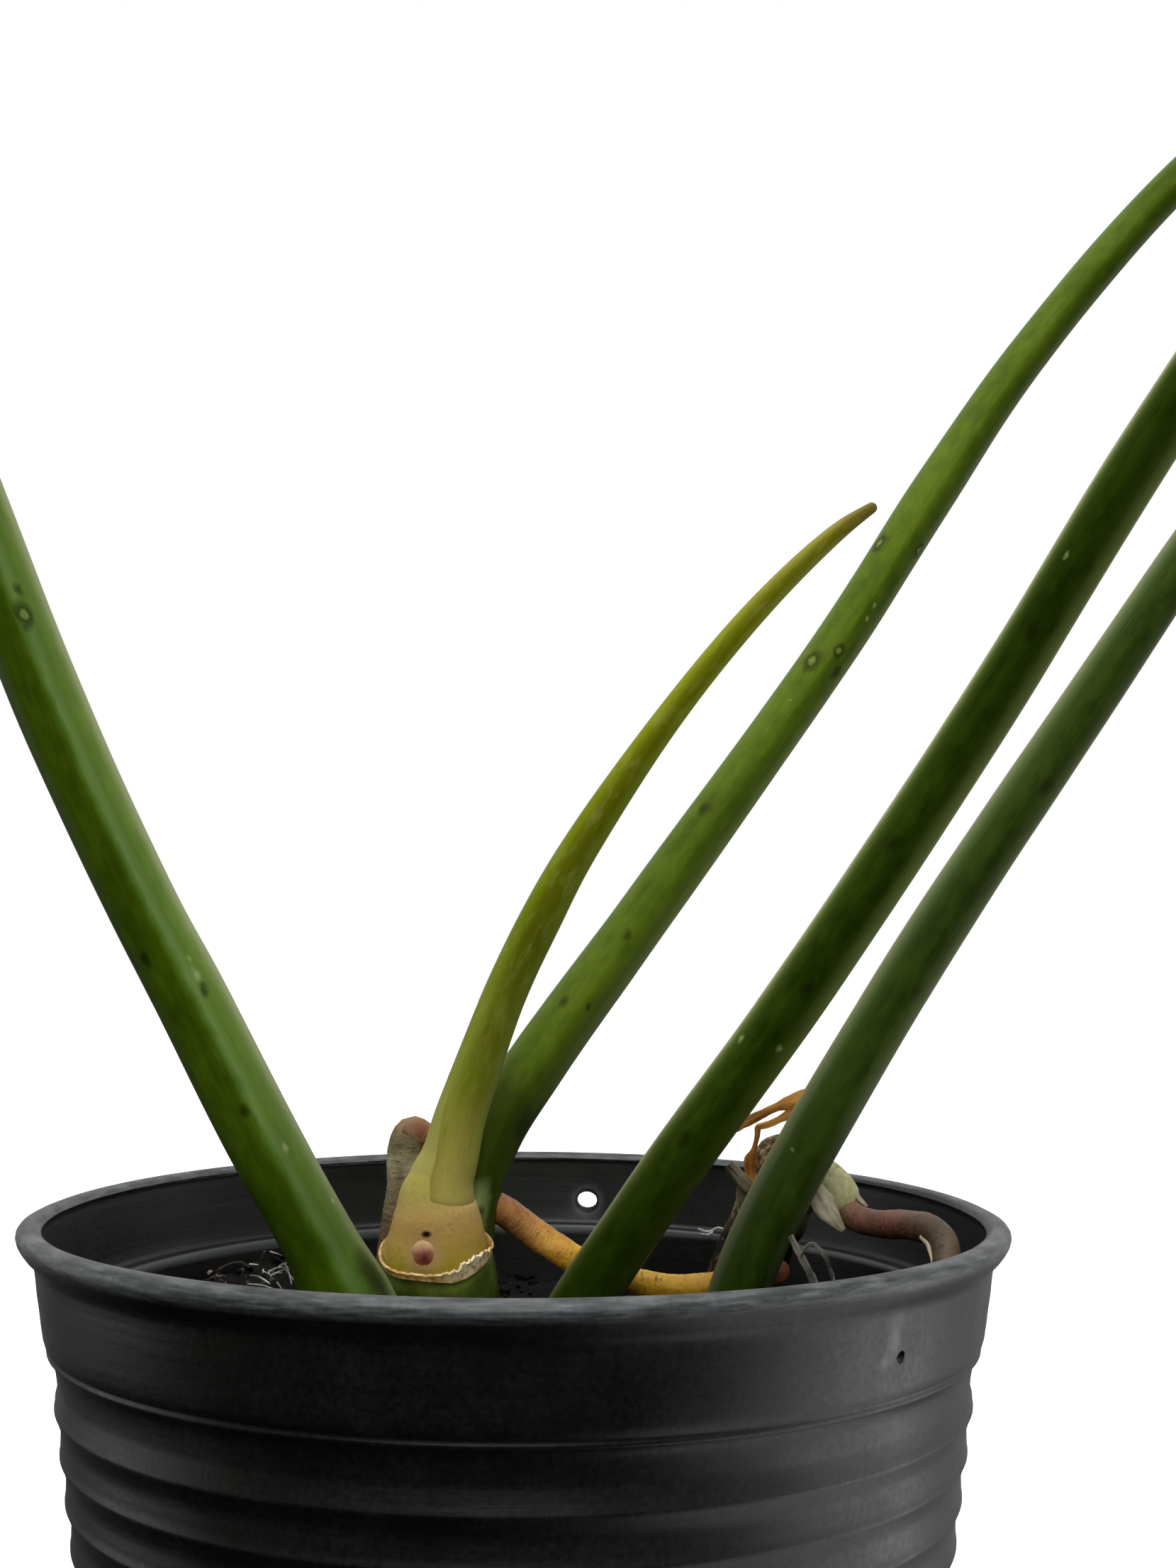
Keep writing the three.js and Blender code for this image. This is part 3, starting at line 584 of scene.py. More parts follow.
# %% Heap the soil
SOIL_LEVEL = 80.0
SOIL_EDGE_RADIUS = 47.0
SOIL_FLOOR_RADIUS = 38.2
SOIL_FLOOR_HEIGHT = 3.1


def soil_height(x, y):
    """The height of the soil's surface: a mound at the back left, and low clods everywhere."""
    mound = 4.6 * math.exp(-((x + 33) ** 2 + (y - 28) ** 2) / 420)
    clods = 0.7 * math.sin(0.31 * x + 0.7) * math.cos(0.37 * y)
    return SOIL_LEVEL + mound + clods + 0.4 * math.sin(0.83 * x - 0.61 * y)


def soil_mesh():
    """The body of soil, whose crown is heaped and whose edge falls away to the wall."""
    steps = 66
    crown = [(SOIL_EDGE_RADIUS * (1 - i / steps), SOIL_LEVEL) for i in range(steps + 1)]
    side = [(0.0, SOIL_FLOOR_HEIGHT), (SOIL_FLOOR_RADIUS, SOIL_FLOOR_HEIGHT)]
    bm = revolve(side + crown, 260)
    for vertex in bm.verts:
        x, y, z = vertex.co
        if z > SOIL_FLOOR_HEIGHT + 1:
            clump = 0.55 * rough((x, y, 0), 2.6) + 0.3 * abs(rough((x, y, 0), 1.1, 7))
            edge = max(0.0, math.hypot(x, y) - SOIL_EDGE_RADIUS + 2) ** 2 * 0.35
            vertex.co.z = soil_height(x, y) + clump - edge
    return bm


def potting_mix():
    """Peat and composted bark: dark when damp, painted nearly black as the shade inside the pot, with the
    brown of single crumbs.
    """
    material, tree = new_material("peat_potting_mix_damp_and_painted_shade", IOR=1.4, Specular_IOR_Level=0.2)
    place = millimetres(tree)
    crumbs = add(tree, "TexNoise", {"Vector": place, "Scale": 0.8, "Detail": 4})
    fine = add(tree, "TexNoise", {"Vector": place, "Scale": 4, "Detail": 3})
    mixed = add(tree, "Math", {0: fine, 1: 0.4, 2: crumbs}, operation="MULTIPLY_ADD")
    # The near-black stops are dark peat and also painted shade for the pot's shadowed inside.
    stops = [(0.45, "#010101"), (0.72, "#050403"), (0.97, "#1b150f")]
    colour = add(tree, "ValToRGB", {"Fac": mixed}, stops=stops)
    damp = add(tree, "MapRange", {0: crumbs, 1: 0.3, 2: 0.7, 3: 0.6, 4: 0.95})
    return cover(material, colour, mixed, 0.5, Roughness=damp)


potting = potting_mix()
finish_piece("potting_soil", soil_mesh(), potting, ["soil"])

# %% [markdown]
# Crumbs, chips and strands are real shapes too: hundreds of twenty-sided grains of bark, a few
# white ones of perlite, reddish chips in one patch at the left, tan strands of coir, and the dead
# hairs of old roots, silvery where they caught on the mound and on the ledge. A seeded draw strews
# them, so they lie the same each time. Grains are squashed and dented; strands are thin rods.

# %% Strew crumbs, chips and strands
STREWN = random.Random(4098)
FREE_RADIUS = 44.0
HOLLOW, HOLLOW_RADIUS = Vector((6, 27)), 20
HAIR_TUFT = ((-29.4, 20), (1.7, 3.0))
CHIP_PATCH = ((-35, 17), (2.2, 4.0))
HAIRS_ON_LEDGE = [
    [(22.6, 41.2, 86.9, 0.16), (24.0, 41.3, 86.5, 0.2), (25.4, 40.4, 87.2, 0.14),
     (27.2, 39.6, 86.2, 0.12)],
    [(22.9, 41.0, 86.3, 0.12), (23.9, 40.6, 86.2, 0.2), (24.8, 40.2, 86.9, 0.12)],
]


def soil_spot():
    """A random place on the soil, evenly spread."""
    radius = FREE_RADIUS * math.sqrt(STREWN.random())
    angle = STREWN.uniform(0, math.tau)
    x, y = radius * math.cos(angle), radius * math.sin(angle)
    return Vector((x, y, soil_height(x, y)))


def spot_off_the_hollow():
    """The same, but never in the deep dark hollow behind the stem, where nothing light lies."""
    spot = soil_spot()
    while (spot.xy - HOLLOW).length < HOLLOW_RADIUS:
        spot = soil_spot()
    return spot


def spot_near(centre, spread):
    """A random place on the soil near a centre, most often close to it."""
    x, y = (STREWN.gauss(middle, width) for middle, width in zip(centre, spread))
    return Vector((x, y, soil_height(x, y)))


def strew_grains(count, smallest, largest, flattest, spot):
    """Irregular grains of twenty faces, half sunk in the soil."""
    bm = bmesh.new()
    for _ in range(count):
        size = smallest + (largest - smallest) * STREWN.random() ** 2
        turn = Matrix.Rotation(STREWN.uniform(0, math.tau), 4, Vector((STREWN.random(), 0.4, 1)))
        squash = Matrix.Diagonal((1, STREWN.uniform(0.5, 1), STREWN.uniform(flattest, 0.9), 1))
        place = Matrix.Translation(spot() + Vector((0, 0, 0.3 * size))) @ turn @ squash
        made = bmesh.ops.create_icosphere(bm, subdivisions=1, radius=size, matrix=place)["verts"]
        for vertex in made:
            vertex.co += Vector([STREWN.uniform(-0.2, 0.2) * size for _ in range(3)])
    return bm


def strew_fibres(count, shortest, longest, thickness, spot):
    """Thin strands that lie on the soil, each arched a little."""
    bm = bmesh.new()
    for _ in range(count):
        start = spot()
        heading = STREWN.uniform(0, math.tau)
        length = STREWN.uniform(shortest, longest)
        bow = STREWN.uniform(-0.25, 0.25) * length
        route = []
        for i in range(4):
            along = (i / 3 - 0.5) * length
            across = bow * math.cos(math.pi * (i / 3 - 0.5))
            x = start.x + along * math.cos(heading) - across * math.sin(heading)
            y = start.y + along * math.sin(heading) + across * math.cos(heading)
            lift = 0.8 + 1.1 * math.sin(math.pi * i / 3) * STREWN.random()
            route.append((x, y, soil_height(x, y) + lift, thickness * STREWN.uniform(0.65, 1.35)))
        if max(math.hypot(p[0], p[1]) for p in route) < FREE_RADIUS + 1.5:
            rod(bend(route, 1.2), 5, into=bm)
    return bm


def expanded_perlite():
    """Volcanic glass puffed with heat: chalky white, stained by the peat."""
    material, tree = new_material("perlite_expanded", Roughness=0.85, IOR=1.45)
    place = millimetres(tree)
    peat = add(tree, "TexNoise", {"Vector": place, "Scale": 0.6, "Detail": 4})
    colour = add(tree, "ValToRGB", {"Fac": peat}, stops=[(0.38, "#d8d2c4"), (0.6, "#4d4236")])
    return cover(material, colour, add(tree, "TexNoise", {"Vector": place, "Scale": 3}), 0.15)


def dry_thread(name, scale, stops, roughness):
    """A dead plant thread: light where it is dry, darker where it is damp."""
    material, tree = new_material(name, Roughness=roughness, IOR=1.45)
    damp = add(tree, "TexNoise", {"Vector": millimetres(tree), "Scale": scale, "Detail": 3})
    return cover(material, add(tree, "ValToRGB", {"Fac": damp}, stops=stops))


coir = dry_thread("coir_fibre_dry", 0.15, [(0.42, "#7a6c60"), (0.56, "#2a2019")], 0.8)
silver = dry_thread("root_hair_dead_dry", 0.5, [(0.4, "#c4c2bc"), (0.62, "#6a675f")], 0.45)
crumbs = strew_grains(900, 0.25, 1.4, 0.35, soil_spot)
perlite = strew_grains(34, 0.35, 1.0, 0.6, spot_off_the_hollow)
strands = strew_fibres(60, 3.0, 9.0, 0.17, spot_off_the_hollow)
chips = strew_grains(70, 0.15, 0.5, 0.35, lambda: spot_near(*CHIP_PATCH))
root_hairs = strew_fibres(15, 2.0, 5.0, 0.1, lambda: spot_near(*HAIR_TUFT))
for route in HAIRS_ON_LEDGE:
    rod(bend(route, 0.5), 6, into=root_hairs)
finish_piece("bark_crumbs", crumbs, potting, crease=20)
finish_piece("perlite_grains", perlite, expanded_perlite(), crease=20)
finish_piece("coir_strands", strands, coir)
finish_piece("bark_chips", chips, coir, crease=20)
finish_piece("dead_root_hairs", root_hairs, silver)

# %% [markdown]
# ## Petioles
# A petiole is the stalk of one leaf: turgid, round, a little swollen at its foot, and it leans out
# of the pot in a long curve. Each follows the same route points as its solid, so it stays where
# the solid is. Its section isn't a perfect circle: low flutes run along it, and one soft ridge
# with a flatter flank beside it, which gives the highlight its edge.

# %% Grow the petioles
PETIOLES = {
    "left": dict(ridge=14, ridge_height=0.035, route=[
        (-12.9, -9.4, 73, 4.9), (-15.6, -9.7, 82, 4.95), (-18.0, -10.1, 87.4, 4.8),
        (-20.3, -10.5, 92.3, 4.0), (-26.9, -13, 104.9, 3.9), (-34.2, -16, 120, 3.8),
        (-38.75, -17.6, 129, 3.62), (-47.4, -22, 149, 3.65), (-58, -31, 180, 3.4),
        (-67.5, -42, 208, 3.0), (-79, -54, 231, 2.6)]),
    "back": dict(ridge=18, ridge_height=0.035, route=[
        (-6.4, 6.5, 90.6, 3.4), (-6.2, 7, 94.8, 3.55), (-3.5, 10, 102.6, 3.6),
        (1.6, 15, 110.6, 3.65), (14.3, 25, 127.8, 3.5), (42.8, 42, 167.2, 3.3),
        (57.3, 48.7, 189.5, 3.3), (72.7, 55, 211.7, 3.0), (97.4, 62, 240.7, 2.9),
        (126, 70, 266, 2.7), (153, 77, 283, 2.5)]),
    "middle": dict(ridge=-60, ridge_height=0.03, route=[
        (2.4, 1.4, 73, 3.3), (4.6, 2.2, 80, 3.5), (14.4, 0, 95.7, 3.42), (31.1, -6.5, 119.6, 3.35),
        (49.9, -18, 149.6, 3.1), (64.3, -33, 175.7, 2.9), (80, -54, 201, 2.7),
        (98, -80, 223, 2.5), (113, -101, 236, 2.3)]),
    "right": dict(ridge=-42, ridge_height=0.05, route=[
        (21.5, 4, 73, 3.3), (23.6, 4, 81, 3.4), (27.3, 4, 91.2, 3.45), (44, 6.5, 119.3, 3.4),
        (67.8, 11, 153.3, 3.1), (92, 16, 186, 2.8), (118, 21, 214, 2.5), (140, 25, 230, 2.3)]),
}


def petiole_mesh(route, ridge, ridge_height, seed):
    """A leaf stalk with flutes, one soft ridge at an angle in degrees, and a swollen top."""
    places = bend(route, 1.0)
    length = places[-1][2]

    def fluted(angle, along, radius):
        swelling = 0.05 * math.exp(-(((length - along) / 7) ** 2))
        flutes = 0.006 * math.sin(11 * angle + seed) + 0.008 * math.sin(5 * angle - seed)
        from_ridge = math.remainder(angle - math.radians(ridge), math.tau)
        crest = ridge_height * math.exp(-((from_ridge / 0.16) ** 2))
        flank = 0.8 * ridge_height * math.exp(-(((abs(from_ridge) - 0.5) / 0.25) ** 2))
        uneven = 0.02 * rough((seed * 9, angle, along), 14)
        return radius * (1 + swelling + flutes + crest - flank + uneven)

    return rod(places, 64, fluted)


def on_rod(places, point):
    """Where a point near the stalk lies on the straight rod."""
    nearest = min(places, key=lambda place: (place[0].translation - Vector(point)).length)
    matrix, radius, distance = nearest
    local = matrix.inverted() @ Vector(point)
    reach = radius / math.hypot(local.x, local.y)
    return (local.y * reach, local.x * reach, distance + local.z)


print("routes of petioles:", ", ".join(PETIOLES))

# %% [markdown]
# Its skin is green under a thin wax. The eye reads it by the soft highlight that runs its whole
# length, by dapples of a lighter green a millimetre or two long, by fine fibres, and by a few corky
# marks, each a dark ring drawn out along the stalk round a pale middle. Light and shade are also
# painted into the colour: each side of a stalk gets a tone by its angle, with a painted highlight
# beside the ridge, a cooler painted tone beside the highlight, a greyer painted one at the edge and
# a darker painted shade on the side away from the light, and a painted shade grows towards the
# foot, low in the pot. Each of the four stalks has its own green, so one function makes the
# finish, and a table gives the two greens, the painted light and shade round each stalk and at its
# foot, and the marks.

# %% Waxy green skin
WAX_TINT = paint("#dce27a")
PALE_SPECK = [(0.0, "#a8b47c", 0.8), (0.45, "#93a264", 0.5), (1.0, "#8f9f66", 0.0)]
DARK_BLOT = [(0.0, "#161804", 0.85), (0.5, "#1d2206", 0.6), (1.0, "#262b08", 0.0)]
CORKY_RING = [(0.0, "#93a060", 0.75), (0.26, "#748340", 0.55), (0.42, "#1c2005", 0.8),
              (0.68, "#242a08", 0.6), (1.0, "#2c350a", 0.0)]
DAPPLE_SHIFT = 0.22
MARKS = {
    "left": {
        "rings": [((-48.9, -27.3, 157.9), 1.5)],
        "dots": [((-23.4, -16.1, 103.9), 0.7), ((-32.4, -19.3, 121.9), 1.0), ((-33.3, -19.4, 123.4), 0.5),
                 ((-18.3, -12.8, 98.2), 0.5)],
        "blots": [((-37.8, -20.2, 123.3), 0.9), ((-14.9, -12.6, 91.2), 2.6), ((-13.9, -12.2, 88.9), 2.9),
                  ((-27.7, -17.6, 107.7), 0.9), ((-49.6, -27.6, 160.4), 0.8),
                  ((-31.7, -19.1, 120.3), 0.9)],
    },
    "back": {
        "rings": [((48.9, 44.1, 180.7), 1.7), ((54.2, 44.5, 180.1), 1.3), ((38.2, 37.2, 163.2), 1.9),
                  ((41.9, 38.0, 164.7), 1.3)],
        "dots": [((-5.6, 3.4, 93.2), 3.6), ((-4.6, 3.8, 95.4), 2.6), ((46.2, 40.2, 169.6), 0.5),
                 ((47.4, 40.6, 171.5), 0.5), ((34.9, 35.0, 157.5), 0.4)],
        "blots": [((4.9, 15.5, 118.1), 0.9), ((7.8, 15.8, 117.4), 0.7), ((23.0, 28.3, 142.5), 1.4),
                  ((0.2, 8.6, 103.6), 2.0), ((-4.7, 4.1, 94.2), 1.2),
                  ((41.2, 38.2, 161.8), 1.4), ((12.6, 20.5, 126.0), 1.0), ((-5.3, 4.0, 92.4), 0.9)],
    },
    "middle": {
        "rings": [],
        "dots": [((24.7, -6.7, 114.5), 0.6), ((28.6, -7.9, 113.7), 0.6), ((55.9, -27.8, 163.9), 0.5)],
        "blots": [((40.2, -15.0, 135.6), 1.1), ((31.6, -10.2, 120.3), 1.2), ((52.6, -25.5, 156.5), 1.4),
                  ((18.6, -4.6, 103.5), 1.3)],
    },
    "right": {
        "rings": [],
        "dots": [((31.2, 1.8, 101.8), 0.4)],
        "blots": [((62.0, 7.2, 143.5), 1.5), ((45.5, 4.0, 119.5), 1.2)],
    },
}


def waxy_green_skin(name, deep, fresh, marks, places, flank_light_and_shade, foot, foot_share, foot_ends):
    """Living skin under wax: dapples and fibres along the straight rod, with painted shade towards the
    foot.
    The flank ramp is painted light and shade: tones by the angle round the stalk, in degrees from its
    front to the right."""
    material, tree = new_material(name, IOR=1.42, Specular_IOR_Level=0.2, Specular_Tint=WAX_TINT)
    straight = along_rod(tree)
    layers = (((0.22, 0.22, 0.07), 3), ((0.75, 0.75, 0.34), 5), ((3.2, 3.2, 0.22), 3))
    patches, dapples, fibres = [streaked_noise(tree, straight, *layer) for layer in layers]
    tone = add(tree, "Math", {0: dapples, 1: 0.9, 2: patches}, operation="MULTIPLY_ADD")
    tone = add(tree, "Math", {0: fibres, 1: 0.35, 2: tone}, operation="MULTIPLY_ADD")
    tone = add(tree, "MapRange", {0: tone, 1: 0.88, 2: 1.36})
    colour = add(tree, "ValToRGB", {"Fac": tone}, stops=[(0.0, deep), (1.0, fresh)])
    forward, sideways, distance = add(tree, "SeparateXYZ", {0: straight}, out=None).outputs
    angle = add(tree, "Math", {0: sideways, 1: forward}, operation="ARCTAN2")
    angle = add(tree, "Math", {0: dapples, 1: DAPPLE_SHIFT, 2: angle}, operation="MULTIPLY_ADD")
    ends = [DAPPLE_SHIFT / 2 + quarter for quarter in (-math.pi / 2, math.pi / 2)]
    share = add(tree, "MapRange", {0: angle, 1: ends[0], 2: ends[1]})
    # Painted light and shade: a tone by the angle round the stalk, a painted highlight on the lit side
    # and painted shade on the other.
    stops = [((degrees + 90) / 180, tone, alpha) for degrees, tone, alpha in flank_light_and_shade]
    colour = lay_ramp(tree, colour, share, stops)
    uneven = add(tree, "Math", {0: dapples, 1: 4.0, 2: distance}, operation="MULTIPLY_ADD")
    # Painted shade: the stalk darkens to its foot colour towards its base, low in the pot.
    colour = stain(tree, colour, foot, (uneven, *foot_ends, foot_share, 0.0))
    ragged = add(tree, "TexNoise", {"Vector": straight, "Scale": 0.9, "Detail": 3}, out="Color")
    shifted = add(tree, "VectorMath", {0: ragged, 1: (0.9, 0.9, 0.9), 2: straight},
                  operation="MULTIPLY_ADD")
    for kind, stops in (("dots", PALE_SPECK), ("blots", DARK_BLOT), ("rings", CORKY_RING)):
        for point, reach in marks[kind]:
            centre = tuple(c + 0.45 for c in on_rod(places, point))
            colour = draw_mark(tree, colour, shifted, centre, 0.7 * reach, stops)
    roughness = add(tree, "MapRange", {0: dapples, 1: 0.3, 2: 0.7, 3: 0.4, 4: 0.54})
    relief = add(tree, "Math", {0: dapples, 1: 0.6, 2: fibres}, operation="MULTIPLY_ADD")
    return cover(material, colour, relief, 0.09, 0.7, Roughness=roughness)


# Each skin's flank ramp is painted light and shade round the stalk, and its foot colour is a painted
# shade near the base.
SKINS = {
    "left": dict(name="petiole_skin_mid_green", deep="#3c5204", fresh="#566e10", flank_light_and_shade=[
        (-88, "#3c4618", 0.5), (-55, "#34440a", 0.35), (-8, "#4a6008", 0.0), (8, "#4e6c10", 0.3),
        (17, "#648a38", 0.5), (25, "#8eac6a", 0.45), (40, "#688a40", 0.5), (58, "#7e964e", 0.55),
        (82, "#aab684", 0.7)], foot="#1c3602", foot_share=0.75, foot_ends=(6, 44)),
    "back": dict(name="petiole_skin_light_green", deep="#40540a", fresh="#5e7219", flank_light_and_shade=[
        (-86, "#8e9c5c", 0.4), (-58, "#6c8230", 0.35), (-20, "#566c10", 0.0), (25, "#3c4e02", 0.3),
        (50, "#304202", 0.6), (80, "#66743a", 0.6)],
        foot="#243204", foot_share=0.75, foot_ends=(19, 24)),
    "middle": dict(name="petiole_skin_dark_green", deep="#203202", fresh="#34480a", flank_light_and_shade=[
        (-88, "#b0bc84", 0.85), (-66, "#7e8a48", 0.6), (-48, "#44541a", 0.3), (-30, "#26360a", 0.0),
        (14, "#2c3a04", 0.0), (26, "#3e4c0a", 0.5), (44, "#56661e", 0.6), (74, "#7a8650", 0.7)],
        foot="#0c1c00", foot_share=0.75, foot_ends=(8, 48)),
    "right": dict(name="petiole_skin_blue_green", deep="#22320a", fresh="#384c14", flank_light_and_shade=[
        (-86, "#9a9c70", 0.8), (-52, "#5c7040", 0.5), (-14, "#2c3e12", 0.0), (22, "#2c380c", 0.0),
        (45, "#505c34", 0.5), (75, "#7c8464", 0.75)], foot="#0e1c02", foot_share=0.7, foot_ends=(6, 42)),
}
for number, (name, petiole) in enumerate(PETIOLES.items()):
    skin = waxy_green_skin(marks=MARKS[name], places=bend(petiole["route"], 0.25), **SKINS[name])
    stalk_mesh = petiole_mesh(seed=number + 1, **petiole)
    finish_piece(f"leaf_stalk_{name}", stalk_mesh, skin, [f"petiole_{name}"])

# %% [markdown]
# ## The stem and its node
# The stem is one short joint. Its lower part still wears the green foot of an old leaf, which tore
# off and left a golden edge shaped like a U. Inside that edge the node itself shows: smooth,
# tapering, and yellow where the skin never saw the sun. A rosy bud sits in it, and above it a
# pinhole, painted as a dark spot of shade rather than cut. The step between the two skins is
# modelled in the rod's own section, so the two never part, and the material reads from the mesh
# which skin it is on.

# %% Model the stem
STEM = [
    (-9.0, 2.4, 66, 6.4), (-9.0, 2.2, 80, 6.8), (-9.1, 2, 86, 6.65), (-9.3, 1.4, 90, 6.2),
    (-9.2, 0.9, 92.6, 5.6), (-9.2, 0.4, 95.1, 4.96), (-9.2, 0.2, 96.6, 4.44), (-8.9, 0.1, 98.0, 3.96),
    (-8.5, 0.05, 99.6, 3.3), (-8.2, 0.0, 101.0, 2.5), (-7.9, 0.0, 102.4, 1.9),
]
SCAR_FRONT = math.radians(3)
SCAR_REACH = math.radians(125)
SCAR = [(-125, 91.9), (-90, 90.4), (-68, 89.4), (-51, 88.8), (-34, 88.5), (-14, 88.4), (8, 88.2),
        (20, 88.1), (34, 88.5), (48, 89.1), (71, 90.2), (100, 91.0), (128, 91.9)]
PINHOLE = (-9.9, -3.9, 93.15)
BUD_CENTRE = Vector((-10.1, -3.75, 91.0))
BUD_ANGLE = math.radians(-9)


def scar_height(angle):
    """The height of the torn edge round the stem: lowest a little right of the front."""
    degrees = math.degrees(angle)
    if not SCAR[0][0] < degrees < SCAR[-1][0]:
        return SCAR[0][1]
    for (first, low), (last, high) in zip(SCAR, SCAR[1:]):
        if first <= degrees < last:
            break
    return low + (high - low) * (degrees - first) / (last - first)


def stem_mesh():
    """The stem, stepped in at the torn edge and swollen behind the bud."""
    places = bend(STEM, 0.3)
    start = places[0][0].translation.z

    def stepped(angle, along, radius):
        over = start + along - scar_height(angle)
        green_skin = 0.4 / (1 + math.exp(max(min(over / 0.1, 40), -40)))
        beside_bud = (angle - BUD_ANGLE) * radius / 1.5
        above_bud = (start + along - BUD_CENTRE.z) / 1.6
        swelling = 0.55 * math.exp(-beside_bud ** 2 - above_bud ** 2)
        return radius - 0.22 + green_skin + swelling + 0.04 * rough((angle * 3, along, 1), 2.6)

    bm = rod(places, 120, stepped)
    bare = bm.verts.layers.float.new("bare")
    around = bm.verts.layers.float["around"]
    for vertex in bm.verts:
        over = vertex.co.z - scar_height(vertex[around])
        vertex[bare] = min(1.0, max(0.0, 0.5 + over * 2))
    return bm


PINHOLE_SHADE = [(0.0, "#120302"), (0.6, "#200705"), (0.8, "#5a2a14", 0.6), (1.0, "#8a5426", 0.0)]
BUD_BLUSH = [(0.0, "#a06c54", 0.9), (0.35, "#aa805c", 0.8), (0.62, "#b0905c", 0.5),
             (1.0, "#b08c50", 0.0)]
BLUSH_CENTRE = (-10.3, -4.6, 91.3)
BLUSH_REACH = 3.3


def stem_skin():
    """Green skin below the torn edge, bare cream and amber node above it, olive at its sides."""
    material, tree = new_material("stem_skin_green_and_yellow", IOR=1.42,
                                  Specular_IOR_Level=0.22, Specular_Tint=WAX_TINT)
    place = millimetres(tree)
    mottle = add(tree, "TexNoise", {"Vector": place, "Scale": 0.38, "Detail": 4})
    fine = add(tree, "TexNoise", {"Vector": place, "Scale": 2.2, "Detail": 3})
    across, _, height = add(tree, "SeparateXYZ", {0: place}, out=None).outputs
    bare = add(tree, "Attribute", out="Fac", attribute_name="bare")
    climb = add(tree, "Math", {0: mottle, 1: 3.6, 2: height}, operation="MULTIPLY_ADD")
    share = add(tree, "MapRange", {0: climb, 1: 89.5, 2: 99.2})
    stops = [(0.0, "#8c8424"), (0.25, "#a28e34"), (0.48, "#b4944a"), (0.68, "#c09c5c"),
             (0.86, "#bca460"), (1.0, "#aca052")]
    yellow = add(tree, "ValToRGB", {"Fac": share}, stops=stops)
    green = add(tree, "ValToRGB", {"Fac": mottle}, stops=[(0.35, "#2f3d12"), (0.65, "#4d5e22")])
    colour = add(tree, "Mix", {0: bare, 6: green, 7: yellow}, out=2, data_type="RGBA")
    colour = stain(tree, colour, "#baa268", (across, -14.3, -14.9, 0.0, 0.7),
                   (height, 92.2, 93.2, 1.0, 0.0), (bare, 0.0, 1.0, 0.0, 1.0))
    colour = draw_mark(tree, colour, place, BLUSH_CENTRE, BLUSH_REACH, BUD_BLUSH, 0.85)
    # Painted shade: the pinhole is a dark painted spot, the shade of its hollow.
    colour = draw_mark(tree, colour, place, PINHOLE, 0.8, PINHOLE_SHADE, 1.5)
    colour = stain(tree, colour, "#6f5528", (fine, 0.58, 0.74, 0.0, 0.35))
    roughness = add(tree, "MapRange", {0: fine, 1: 0.3, 2: 0.7, 3: 0.4, 4: 0.52})
    return cover(material, colour, fine, 0.1, 0.6, Roughness=roughness)


finish_piece("stem_joint", stem_mesh(), stem_skin(), ["stem"])

# %% [markdown]
# The torn edge is a thin flange of dry skin. It starts as a grid, wrapped round the stem along
# the scar and leaning outwards. Solidify then gives it its thickness. On the left it is a
# narrow, even rim; on the right its layers have split into broad flakes with a ragged top, pale
# with dry skin and painted brighter still as a highlight.


# %% Tear the sheath's edge
SCAR_X = -9.2
SCAR_RADIUS = 6.62
SCAR_LEVEL = 88.0
FLAKES_AT = 42
FLAKES_REACH = 26


def torn_edge_mesh():
    """A flange along the scar, broad and ragged where its attribute "flake" is high."""
    bm = bmesh.new()
    bmesh.ops.create_grid(bm, x_segments=210, y_segments=9, size=0.5)
    flake = bm.verts.layers.float.new("flake")
    for vertex in bm.verts:
        u, v = vertex.co.x + 0.5, vertex.co.y + 0.5
        angle = SCAR_FRONT + SCAR_REACH * 0.98 * (2 * u - 1)
        degrees = math.degrees(angle)
        flaky = math.exp(-(((degrees - FLAKES_AT) / FLAKES_REACH) ** 2))
        split = (0.2 + flaky) * (0.5 * rough((u * 60, 0, 0), 1.5) + 0.35 * rough((u * 60, 5, 0), 0.5))
        tall = 0.6 + 1.25 * flaky + split
        height = scar_height(angle) - 0.15 + tall * v
        lean = 0.06 + (0.3 + 0.35 * flaky) * v ** 1.5 + 0.2 * flaky * v * rough((u * 50, 9, v), 1.0)
        rise = height - SCAR_LEVEL
        radius = SCAR_RADIUS - 0.14 * rise - 0.012 * rise ** 2 + lean
        centre_y = 1.7 - 0.22 * rise
        vertex.co = (SCAR_X + radius * math.sin(angle), centre_y - radius * math.cos(angle), height)
        vertex[flake] = flaky * min(1.0, 0.25 + 1.5 * v)
    bmesh.ops.recalc_face_normals(bm, faces=bm.faces)
    bmesh.ops.solidify(bm, geom=bm.faces[:], thickness=0.3)
    return bm


def dry_golden_skin():
    """Torn, dried leaf skin: cream gold, amber in its folds, almost white on split flakes, which is pale
    skin and also a painted highlight.
    """
    material, tree = new_material("leaf_skin_torn_dry_and_highlight", Roughness=0.6, IOR=1.45)
    fine = add(tree, "TexNoise", {"Vector": millimetres(tree), "Scale": 1.4, "Detail": 5})
    flake = add(tree, "Attribute", out="Fac", attribute_name="flake")
    stops = [(0.36, "#a4783a"), (0.5, "#c8a25c"), (0.66, "#e2c890")]
    colour = add(tree, "ValToRGB", {"Fac": fine}, stops=stops)
    # The split flakes are pale dry skin, painted almost white as a highlight too.
    split = ((fine, 0.34, 0.48, 0.0, 1.0), (flake, 0.0, 1.0, 0.0, 1.0))
    return cover(material, stain(tree, colour, "#fbeec4", *split), fine, 0.15, 0.5)


finish_piece("torn_leaf_edge", torn_edge_mesh(), dry_golden_skin(), ["torn_sheath"])

# %% [markdown]
# The bud is a low swelling under the skin rather than a bead: a sphere flattened against the node,
# wider at its top and drawn in at its foot, with its scales closed over a dark slit. The slit is
# pressed in along its middle, and its rosy tone runs out into the stem's own skin.

